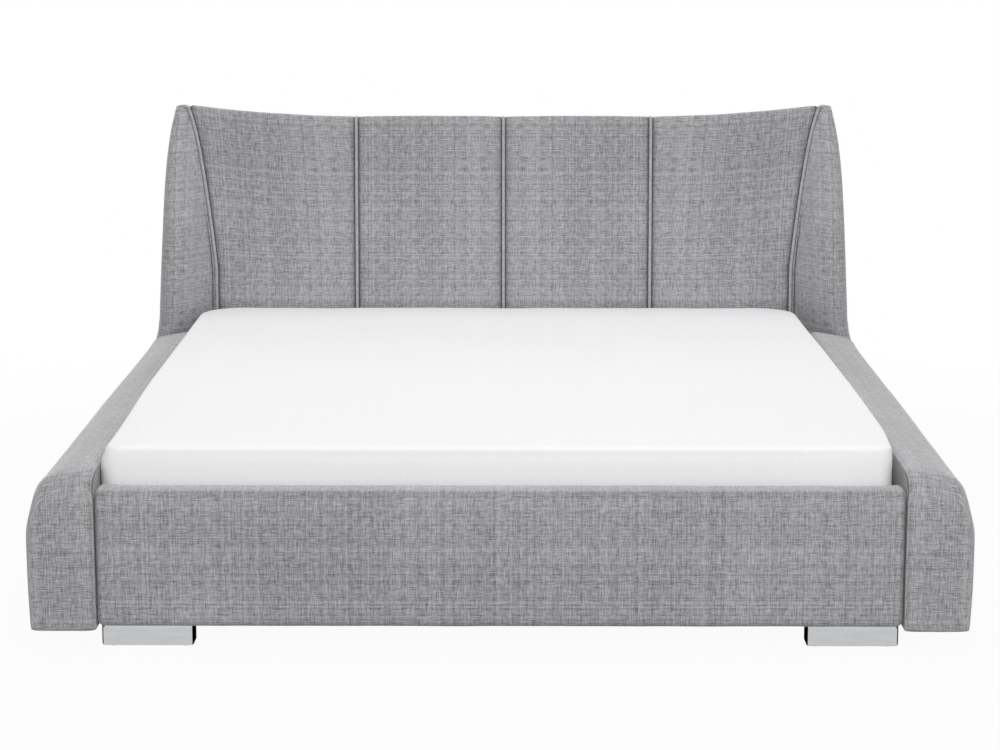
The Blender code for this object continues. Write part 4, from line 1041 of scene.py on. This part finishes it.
def board_section(inset):
    """Outline of the footboard in Y and Z, drawn in by inset in height and by less in depth."""
    shrink = inset * BOARD_END_ROUND / BOARD_ROUND + BOARD_ROUND
    front, back = FRONT + shrink, FRONT + BOARD_DEPTH - shrink
    foot, top = BOARD_FOOT + inset + BOARD_ROUND, BOARD_TOP - inset - BOARD_ROUND
    corners = ((back, foot, -0.5), (back, top, 0.0), (front, top, 0.5), (front, foot, 1.0))
    return rounded_loop([(*corner, BOARD_ROUND) for corner in corners], 7, (18, 4))


def footboard():
    """Padded footboard between the rails, with the slot for its board."""
    ends = [(BOARD_ROUND * (1 - up), BOARD_ROUND * (1 - along)) for along, up in quarter_turn(7)]
    level = BOARD_HALF - BOARD_ROUND
    places = [(away - BOARD_HALF, inset) for away, inset in reversed(ends)]
    places += [(x, 0.0) for x in np.linspace(-level, level, 92)[1:-1]]
    places += [(BOARD_HALF - away, inset) for away, inset in ends]
    loops = [[(x, y, z) for y, z in board_section(inset)] for x, inset in places]
    closing = (0.05, 0.4, 0.8)
    skin = [*toward_middle(loops[0], closing), *loops, *toward_middle(loops[-1], closing[::-1])]
    made = loft("footboard_upholstery", skin, LINEN, anchor=40, spine=40)
    points = np.array(skin).reshape(-1, 3)
    near_end = BOARD_HALF - np.abs(points[:, 0])
    loose = smooth_step(near_end, 0.004, 0.05)
    loose = loose * smooth_step(points[:, 2], BOARD_FOOT + 0.01, BOARD_FOOT + 0.04)
    # Painted shade in the gaps at its ends, along its top front edge and along its hem; the same marks
    # set the puckers
    rim = np.hypot(points[:, 1] - FRONT - 0.004, points[:, 2] - BOARD_TOP + 0.004)
    hem = np.hypot(points[:, 1] - FRONT - 0.003, points[:, 2] - BOARD_FOOT - 0.002)
    near = np.maximum(np.exp(-np.maximum(near_end, 0) / 0.005), 0.35 * np.exp(-rim / 0.003))
    near = np.maximum(near, 0.6 * np.exp(-hem / 0.003))
    upholstered(
        made, near, loose, BOARD_SWELL, FRAME_PUCKER,
        "footboard_cover", board="footboard_board",
    )


# Mattress
ACROSS = np.linspace(-1, 1, 49)


def plan_rows(inset):
    """Distances along the mattress, closer together round its corners, each with its half width."""
    low, high, half = BED_FRONT + inset, BED_BACK - inset, BED_SIDE - inset
    front, rear = max(CORNER_FRONT - inset, CORNER_LEAST), max(CORNER_REAR - inset, CORNER_LEAST)
    turns = quarter_turn(9)
    rows = [(low + front * (1 - along), half - front * (1 - across)) for along, across in turns]
    rows += [(y, half) for y in np.linspace(low + front, high - rear, 47)[1:-1]]
    turns.reverse()
    rows += [(high - rear * (1 - along), half - rear * (1 - across)) for along, across in turns]
    return rows


def plan(inset, z):
    """The mattress's outline at a height, drawn in by inset."""
    rows = plan_rows(inset)
    loop = [(share * rows[0][1], rows[0][0], z) for share in ACROSS]
    loop += [(half, y, z) for y, half in rows[1:-1]]
    loop += [(share * rows[-1][1], rows[-1][0], z) for share in ACROSS[::-1]]
    loop += [(-half, y, z) for y, half in rows[-2:0:-1]]
    return np.array(loop)


def fill_plan(piece, count, first, height=None):
    """Closes an outline of the mattress with an even grid. The outline has count points, the first
    of them numbered first; height lifts the grid's points from their places in the plan."""
    shape = bmesh.new()
    shape.from_mesh(piece.data)
    outline = list(shape.verts)[first : first + count]
    wide = len(ACROSS)
    length = (count - 2 * wide) // 2 + 2
    grid = [[None] * wide for _ in range(length)]
    for column in range(wide):
        grid[0][column] = outline[column]
        grid[-1][column] = outline[wide + length - 2 + wide - 1 - column]
    for row in range(1, length - 1):
        grid[row][-1] = outline[wide + row - 1]
        grid[row][0] = outline[count - row]
        left, right = grid[row][0].co.copy(), grid[row][-1].co.copy()
        for column in range(1, wide - 1):
            x, y, z = left.lerp(right, (ACROSS[column] + 1) / 2)
            lift = height(x, y) if height else 0.0
            grid[row][column] = shape.verts.new((x, y, z + lift))
    cloth = shape.loops.layers.uv["cloth"]
    for near, far in zip(grid, grid[1:]):
        for column in range(wide - 1):
            corners = (near[column], near[column + 1], far[column + 1], far[column])
            face = shape.faces.new(corners)
            face.smooth = True
            for corner in face.loops:
                corner[cloth].uv = corner.vert.co.xy
    bmesh.ops.recalc_face_normals(shape, faces=shape.faces)
    shape.to_mesh(piece.data)
    shape.free()


def lain(points):
    """The soft mattress settles unevenly above its zip: fuller on the left, and drawn in on the
    right at its foot and towards its head end."""
    points = np.array(points, float)
    x, y, z = points[..., 0], points[..., 1], points[..., 2]
    outer = np.clip((np.abs(x) - 0.5) / 0.4, 0, 1) ** 1.5
    share = outer * smooth_step(z, ZIP_LEVEL + 0.007, 0.365)
    headwards = smooth_step(y, -0.45, 1.0)
    footwards = 1 - smooth_step(y, BED_FRONT, BED_FRONT + 0.24)
    right = DRAWN_RIGHT + DRAWN_RIGHT_HEAD * headwards + DRAWN_RIGHT_FOOT * footwards
    leaning = 1 - smooth_step(y, BED_FRONT, BED_FRONT + 0.9)
    left = FULL_LEFT - LEAN_LEFT * leaning * smooth_step(z, 0.400, BED_TOP + 0.010)
    points[..., 0] = x - share * np.where(x < 0, left, right)
    return points


def crown(x, y):
    """Height of the mattress's slightly domed top above its edge."""
    middle, half = (BED_FRONT + BED_BACK) / 2, (BED_BACK - BED_FRONT) / 2
    across = max(1 - (x / (BED_SIDE - EDGE_ROUND)) ** 2, 0.0)
    along = max(1 - ((y - middle) / (half - EDGE_ROUND)) ** 2, 0.0)
    return BED_DOME * (across * along) ** 0.5


def top_cover():
    """Upper half of the mattress cover, over its foam, down to the zip."""
    low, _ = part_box("mattress_top_cover")
    ceiling, rim, edge = 0.428, low[2], BED_TOP - BED_DOME
    loops = [plan(0.010, z) for z in np.linspace(ceiling, rim, 6)]
    loops += [plan(inset, rim) for inset in (0.006, 0.001)]
    loops += [plan(0.0, z) for z in np.linspace(rim + 0.003, edge - EDGE_ROUND, 14)]
    for along, up in quarter_turn(8)[1:]:
        loops.append(plan(EDGE_ROUND * (1 - along), edge - EDGE_ROUND * (1 - up)))
    loops = [lain(loop) for loop in loops]
    made = loft("mattress_cover_top", loops, KNIT, spine=60, open_ends=True)
    count = len(loops[0])
    fill_plan(made, count, 0)
    fill_plan(made, count, (len(loops) - 1) * count, crown)
    points = points_of(made)
    row = np.minimum(np.arange(len(points)) // count, len(loops))
    under = np.abs(points[:, 2] - ceiling) < 0.001
    # Painted shade along the seam at the foot of its side
    mark_seams_and_painted_shade(made, np.exp(-np.abs(row - 8) / 0.9))
    puffed(made, np.where(under, 0.0, smooth_step(points[:, 2], 0.425, 0.450)), BED_SWELL)
    subdivided(made)
    points = points_of(made)
    slow = ripple(points[:, 0] * 0.16, points[:, 1] * 0.14 + points[:, 2] * 0.4)
    pushed_out(made, slow * 0.0012)
    settled(made, "top_cover", ["mattress_top_cover"])


# Water mattress inside the covers
def bottom_cover():
    """Tray of the lower cover, with the zip's tape and teeth standing on its rim."""
    low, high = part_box("mattress_bottom_cover")
    rim = ZIP_LEVEL - 0.006
    steps = [(0.010, z) for z in np.linspace(low[2] + 0.003, high[2], 8)]
    steps += [(0.008, high[2]), (0.007, high[2] - TOUCH)]
    steps += [(0.007, z) for z in np.linspace(high[2] - 0.002, rim, 4)]
    steps += [(0.004, rim), (0.001, rim - TOUCH)]
    steps += [(0.0, z) for z in np.linspace(rim - 0.003, low[2] + 0.010, 9)]
    steps += [(0.003, low[2] + 0.003), (0.010, low[2])]
    loops = [plan(inset, z) for inset, z in steps]
    made = loft("mattress_cover_base", loops, BASE_CLOTH, spine=60, open_ends=True)
    count = len(loops[0])
    fill_plan(made, count, 0)
    fill_plan(made, count, (len(loops) - 1) * count)
    row = np.arange(len(made.data.vertices)) // count
    # Painted shade along the seam under the zip
    mark_seams_and_painted_shade(made, np.exp(-np.abs(row - 14) / 0.8))
    sharp_from(made, 50)
    settled(made, "bed", ["mattress_bottom_cover"])
    path = [(x, y, ZIP_LEVEL) for x, y, _ in plan(0.00698, 0.0)]
    tooth = block("zip_tooth", (-0.0014, -0.0002, -0.0022), (0.0014, 0.0003, 0.0022), TEETH)
    repeated("zip_teeth", path + path[:1], tooth, 0.005, TEETH)


def repeated(name, path, item, spacing, finish):
    """Copies of a small piece at even steps along a path, its X along the path and its Z up."""
    line = bpy.data.meshes.new(name)
    line.from_pydata([tuple(p) for p in path], [(i, i + 1) for i in range(len(path) - 1)], [])
    made = put(name, line, finish)
    tree = bpy.data.node_groups.new(name, "GeometryNodeTree")
    kinds = {"Path": "Geometry", "Spacing": "Float", "Item": "Object", "Finish": "Material"}
    for label, kind in kinds.items():
        tree.interface.new_socket(label, in_out="INPUT", socket_type=f"NodeSocket{kind}")
    tree.interface.new_socket("Copies", in_out="OUTPUT", socket_type="NodeSocketGeometry")
    given = add(tree, "NodeGroupInput").outputs
    curve = add(tree, "GeometryNodeMeshToCurve", {"Mesh": given["Path"]})
    even = add(
        tree, "GeometryNodeResampleCurve", {"Curve": curve, "Length": given["Spacing"]},
        mode="LENGTH",
    )
    along = add(tree, "GeometryNodeInputTangent")
    forward = add(tree, "FunctionNodeAlignRotationToVector", {"Vector": along}, axis="X")
    upright = add(
        tree, "FunctionNodeAlignRotationToVector", {"Rotation": forward, "Vector": (0, 0, 1)},
        axis="Z", pivot_axis="X",
    )
    shape = add(tree, "GeometryNodeObjectInfo", {"Object": given["Item"]}).outputs["Geometry"]
    copies = add(
        tree, "GeometryNodeInstanceOnPoints",
        {"Points": even, "Instance": shape, "Rotation": upright},
    )
    solid = add(tree, "GeometryNodeRealizeInstances", {"Geometry": copies})
    coloured = add(
        tree, "GeometryNodeSetMaterial", {"Geometry": solid, "Material": given["Finish"]}
    )
    add(tree, "NodeGroupOutput", {0: coloured})
    repeat = made.modifiers.new("repeat", "NODES")
    repeat.node_group = tree
    values = {"Spacing": spacing, "Item": item, "Finish": finish}
    for socket in tree.interface.items_tree:
        if socket.in_out == "INPUT" and socket.name in values:
            repeat[socket.identifier] = values[socket.name]
    baked(made)
    bpy.data.objects.remove(item)
    settled(made, "bed")


def softened(node, name, finish, round_off):
    """A copy of a soft solid with its edges rounded, pushed where the mattress has settled."""
    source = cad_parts[node]
    mesh = source.data.copy()
    mesh.transform(source.matrix_world)
    mesh.materials.clear()
    made = put(name, mesh, finish)
    shape = bmesh.new()
    shape.from_mesh(mesh)
    bmesh.ops.remove_doubles(shape, verts=shape.verts, dist=1e-5)
    flat = math.radians(1)
    bmesh.ops.dissolve_limit(shape, angle_limit=flat, verts=shape.verts, edges=shape.edges)
    bmesh.ops.recalc_face_normals(shape, faces=shape.faces)
    shape.to_mesh(mesh)
    shape.free()
    if round_off:
        edge = made.modifiers.new("rounded edges", "BEVEL")
        edge.width = round_off
        edge.segments = 3
        edge.limit_method = "ANGLE"
        edge.angle_limit = math.radians(40)
        baked(made)
    set_points(made, lain(points_of(made)))
    sharp_from(made, 35)
    return made


def foam_and_liner():
    """Cut foam walls and divider of the basin, and the sheet that would catch a leak."""
    for node in ("bolster_left", "bolster_right", "bolster_foot", "bolster_head", "water_divider"):
        foam = softened(node, f"foam_{node}", FOAM, 0.004)
        settled(foam, "bed", [node])
    sheet = softened("safety_liner", "liner_tray", LINER, 0.0)
    settled(sheet, "bed", ["safety_liner"])


def heater(word):
    """Flat heating pad under a bladder."""
    pad = softened(f"heater_{word}", f"heating_pad_{word}", HEATER, 0.0004)
    settled(pad, "bed", [f"heater_{word}"])


def basin_plan(z, inset, low_x):
    """Outline of one bladder at a height, drawn in by inset."""
    share = (z - WALL_FOOT_LEVEL) / (WALL_TOP_LEVEL - WALL_FOOT_LEVEL)
    margin = WALL_FOOT - WALL_TAPER * share + WALL_GAP + inset + BLADDER_ROUND
    front, back = BED_FRONT + margin, BED_BACK - margin
    inner, outer = low_x + BLADDER_ROUND, BED_SIDE - margin
    corners = ((outer, front, -0.5), (outer, back, 0.0), (inner, back, 0.5), (inner, front, 1.0))
    points = rounded_loop([(*corner, BLADDER_ROUND) for corner in corners], 6, (46, 22))
    return [(x, y, z) for x, y in points]


def inner_side(z):
    """Where a bladder meets the sloping side of the foam divider at a height."""
    share = min((z - BLADDER_FLOOR) / (DIVIDER_TOP_LEVEL - BLADDER_FLOOR), 1.0)
    return DIVIDER_FOOT - DIVIDER_TAPER * share + DIVIDER_GAP


def disc(name, middle, radius, low, high):
    """A short round post, to cut or join a round form with."""
    angles = np.linspace(0, 2 * math.pi, 48, endpoint=False)
    ring = [(middle[0] + radius * math.cos(a), middle[1] + radius * math.sin(a)) for a in angles]
    return loft(name, [[(x, y, z) for x, y in ring] for z in (low, high)], VINYL)


def bladder(word, side):
    """Half of the water in its welded vinyl skin, with a well and a fill neck at its foot end."""
    low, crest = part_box(f"water_bladder_{word}")[0][2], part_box("water_divider")[1][2]
    bend = BLADDER_ROUND
    profile = [(low + bend * (1 - up), bend * (1 - out)) for up, out in quarter_turn(5)]
    profile += [(z, 0.0) for z in np.linspace(low + bend, BLADDER_TOP - bend, 12)[1:-1]]
    profile += [(BLADDER_TOP - bend * (1 - up), bend * (1 - out)) for out, up in quarter_turn(6)]
    loops = [basin_plan(z, inset, inner_side(z) + inset) for z, inset in profile]
    for share in np.linspace(0, 1, 15)[1:]:
        inset = bend + BLADDER_REACH * share
        z = BLADDER_TOP + BLADDER_RISE * math.sin(math.pi / 2 * share)
        flat = basin_plan(BLADDER_TOP, inset, inner_side(crest) + inset)
        loops.append([(x, y, z) for x, y, _ in flat])
    made = loft(f"water_bag_{word}", loops, VINYL, side=side)
    points = points_of(made)
    near_rim = np.exp(-np.abs(points[:, 2] - BLADDER_TOP + 0.010) / 0.02)
    fold = ripple(points[:, 0] * 0.9, points[:, 1] * 0.8)
    pushed_out(made, -0.0014 * near_rim * (1 + fold))
    set_points(made, lain(points_of(made)))
    cap_low, cap_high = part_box(f"valve_cap_{word}")
    middle = [(a + b) / 2 for a, b in zip(cap_low, cap_high)]
    combined(made, disc("well", middle, WELL_RADIUS, WELL_FLOOR, 0.470), "DIFFERENCE")
    combined(made, disc("neck", middle, NECK_RADIUS, WELL_FLOOR - 0.0005, NECK_TOP), "UNION")
    settled(made, "bed", [f"water_bladder_{word}"])


def pull_tab(word, side):
    """Small pull of the zip slider, hanging against the lower cover."""
    low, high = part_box(f"zip_slider_{word}")
    y, top = (low[1] + high[1]) / 2, (low[2] + high[2]) / 2 - 0.004
    face = BED_SIDE + 0.0004
    half = ((0.003, 0.0), (0.004, -0.020), (0.0025, -0.026))
    outline = [(-across, up) for across, up in half] + list(reversed(half))
    loops = [[(x, y + along, top + up) for along, up in outline] for x in (face, face + 0.0012)]
    tab = loft(f"zip_pull_{word}", loops, ZINC, side=side)
    sharp_from(tab, 30)
    settled(tab, f"{word}_zip_slider")


# Headboard back, stitches and bolt heads
def back_cover():
    """Thin padded panel over the back of the headboard, drawn down round its edges."""
    low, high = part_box("headboard_back_cover")
    soft, crisp = 0.004, 0.0006
    corners = (
        (high[0] - soft, high[1] - soft, 0.0, soft),
        (low[0] + soft, high[1] - soft, 0.5, soft),
        (low[0] + crisp, low[1] + crisp, 1.0, crisp),
        (high[0] - crisp, low[1] + crisp, 1.5, crisp),
    )
    section = rounded_loop(corners, 5, (90, 2))
    heights = [(low[2], 0.55), (low[2] + 0.0015, 0.85), (low[2] + 0.004, 1.0)]
    heights += [(z, 1.0) for z in np.linspace(low[2] + 0.02, high[2] - 0.02, 44)]
    heights += [(high[2] - 0.004, 1.0), (high[2] - 0.0015, 0.85), (high[2], 0.55)]
    loops = [[(x, low[1] + (y - low[1]) * thin, z) for x, y in section] for z, thin in heights]
    made = loft("back_panel", loops, LINEN, spine=50)
    points = points_of(made)
    edge = np.minimum(
        np.minimum(points[:, 0] - low[0], high[0] - points[:, 0]),
        np.minimum(points[:, 2] - low[2], high[2] - points[:, 2]),
    )
    outside = points[:, 1] > (low[1] + high[1]) / 2
    wave = np.sin(points[:, 0] * 180) * np.sin(points[:, 2] * 170)
    sunk = 0.0016 * np.exp(-np.maximum(edge - 0.010, 0) / 0.025) * (1 + 0.5 * wave)
    slow = 0.0008 * (1 + ripple(points[:, 0] * 0.2, points[:, 2] * 0.2))
    points[:, 1] -= outside * (sunk + slow) * (edge > 0.003)
    set_points(made, points)
    # Painted shade along its edges, where the cloth is drawn down round them
    mark_seams_and_painted_shade(made, np.exp(-np.maximum(edge, 0) / 0.004) * 0.7)
    settled(made, "bed", ["headboard_back_cover"])
    y, z = high[1] - 0.0018, low[2] + 0.014
    path = [(low[0] + 0.04, y, z), (high[0] - 0.04, y, z)]
    staple = block("staple", (-0.0055, -0.0004, -0.0005), (0.0055, 0.0006, 0.0005), ZINC)
    repeated("back_staples", path, staple, 0.055, ZINC)


def stitches(word, side):
    """Close stitches along the inner edge of a rail's front."""
    x = side * (WELL_HALF + 0.0044)
    path = [(x, FRONT - 0.0002, z) for z in np.linspace(RAIL_FOOT + 0.015, 0.330, 12)]
    stitch = block("stitch", (-0.0013, -0.0004, -0.0004), (0.0013, 0.0004, 0.0004), THREAD)
    repeated(f"rail_stitches_{word}", path, stitch, 0.0045, THREAD)


def bolts(word):
    """Hexagon heads under a head plate."""
    turns = [math.pi * corner / 3 for corner in range(6)]
    rings = ((0.0056, 0.0), (0.0056, -0.0034), (0.0047, -0.0040))
    loops = [[(r * math.cos(turn), r * math.sin(turn), z) for turn in turns] for r, z in rings]
    low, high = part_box(f"head_plate_{word}")
    x, z = (low[0] + high[0]) / 2, low[2] - TOUCH
    path = [(x, low[1] + 0.025, z), (x, high[1] - 0.025, z)]
    bolt = loft("bolt_head", loops, ZINC)
    sharp_from(bolt, 30)
    repeated(f"plate_bolts_{word}", path, bolt, 0.050, ZINC)


# Floor, light and camera
def eye_rays(tree):
    """1 for rays that the camera sees straight or in a mirror, 0 for those that only bring light."""
    ray = add(tree, "ShaderNodeLightPath").outputs
    return add(
        tree, "ShaderNodeMath", {0: ray["Is Camera Ray"], 1: ray["Is Glossy Ray"]},
        operation="MAXIMUM",
    )


def studio():
    """White floor that fades into a white room, both grey where they only bring light."""
    reach, level = 30.0, -0.0004
    mesh = bpy.data.meshes.new("floor")
    corners = ((-reach, -reach), (reach, -reach), (reach, reach), (-reach, reach))
    mesh.from_pydata([(x, y, level) for x, y in corners], [], [(0, 1, 2, 3)])
    paper, tree, shader = material("white_floor")
    feed(tree, shader, {"Base Color": (0.60, 0.60, 0.60, 1), "Roughness": 0.9})
    place = add(tree, "ShaderNodeTexCoord").outputs["Object"]
    away = add(tree, "ShaderNodeVectorMath", {0: place}, operation="LENGTH").outputs["Value"]
    white = add(
        tree, "ShaderNodeMapRange",
        {"Value": away, "From Min": 1.6, "From Max": 3.2, "To Min": 0.95, "To Max": 1.0},
        interpolation_type="SMOOTHSTEP",
    )
    amount = add(tree, "ShaderNodeMath", {0: eye_rays(tree), 1: white}, operation="MULTIPLY")
    plain = add(tree, "ShaderNodeEmission", {"Color": (1, 1, 1, 1), "Strength": 1.0})
    mixed = add(tree, "ShaderNodeMixShader", {0: amount, 1: shader, 2: plain})
    feed(tree, tree.nodes["Material Output"], {"Surface": mixed})
    put("floor", mesh, paper)
    world = bpy.data.worlds.new("studio")
    scene.world = world
    world.use_nodes = True
    tree = world.node_tree
    bright = add(
        tree, "ShaderNodeMapRange", {"Value": eye_rays(tree), "To Min": 0.45, "To Max": 1.0}
    )
    feed(tree, tree.nodes["Background"], {"Color": (1, 1, 1, 1), "Strength": bright})


def lamp(name, place, target, size, power):
    """A soft rectangular panel lamp, turned to its target."""
    data = bpy.data.lights.new(name, "AREA")
    data.shape = "RECTANGLE"
    data.size, data.size_y = size
    data.energy = power
    made = bpy.data.objects.new(name, data)
    made.location = place
    way = Vector(target) - Vector(place)
    made.rotation_euler = way.to_track_quat("-Z", "Y").to_euler()
    scene.collection.objects.link(made)


def camera():
    """The photograph's camera, fitted to the mattress, the rails and the headboard's outline."""
    data = bpy.data.cameras.new("camera")
    data.lens = 90.9
    data.sensor_width = 36.0
    made = bpy.data.objects.new("camera", data)
    made.location = (0.028, FRONT - 5.473, 1.657)
    made.rotation_euler = (math.radians(79.41), 0.0, math.radians(0.29))
    scene.collection.objects.link(made)
    scene.camera = made


# Covers of the frame
for place, near, far in (("inner", 0.0, CHANNEL), ("outer", CHANNEL, SEAM_FOOT)):
    for side, word in SIDES:
        headboard_pad(f"{word}_{place}", near, far, place == "outer", side)
for word, x in (("left", -CHANNEL), ("centre", 0.0), ("right", CHANNEL)):
    piping(word, seam_line(x))
for side, word in SIDES:
    curved_piping(word, side)
for side, word in SIDES:
    wing(word, side)
    rail(word, side)
footboard()

# Mattress, from its covers to the water inside
top_cover()
bottom_cover()
foam_and_liner()
for side, word in SIDES:
    bladder(word, side)
    heater(word)
    pull_tab(word, side)

# Back of the headboard and small fittings
back_cover()
for side, word in SIDES:
    stitches(word, side)
for _, word in SIDES:
    bolts(word)

# Nodes kept from the model, with their own finishes
KEPT = {
    STEEL: ("front_foot_left", "front_foot_right"),
    NYLON: ("glide_left_outer", "glide_left_inner", "glide_right_inner", "glide_right_outer"),
    ZINC: (
        "corner_bracket_left", "corner_bracket_right", "head_plate_left", "head_plate_right",
        "zip_slider_left", "zip_slider_right",
    ),
    CHIPBOARD: (
        "headboard_bottom_rail", "headboard_top_rail", "headboard_stile_left", "headboard_stile_right",
        "rail_board_left", "rail_board_right", "footboard_board", "deck_left", "deck_right",
    ),
    PLYWOOD: ("headboard_face_board", "wing_board_left", "wing_board_right"),
    LAMINATE: (
        "rear_foot_left", "rear_foot_right", "pedestal_side_left", "pedestal_side_right",
        "pedestal_end_foot", "pedestal_cross_board", "pedestal_end_head",
    ),
    CAP: ("valve_cap_left", "valve_cap_right"),
}
for finish, names in KEPT.items():
    for name in names:
        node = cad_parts[name]
        node.data.materials.clear()
        node.data.materials.append(finish)

studio()
camera()
lamp("front_panel", (1.2, -8.0, 4.8), (0, 0, 0.4), (6.5, 4.0), 372)
lamp("top_panel", (0.0, 0.7, 4.2), (0, 0, 0.3), (4.0, 4.0), 64)
lamp("rear_panel", (-0.8, 6.0, 3.4), (0, 0, 0.4), (5.0, 3.0), 60)
scene.view_settings.view_transform = "Standard"
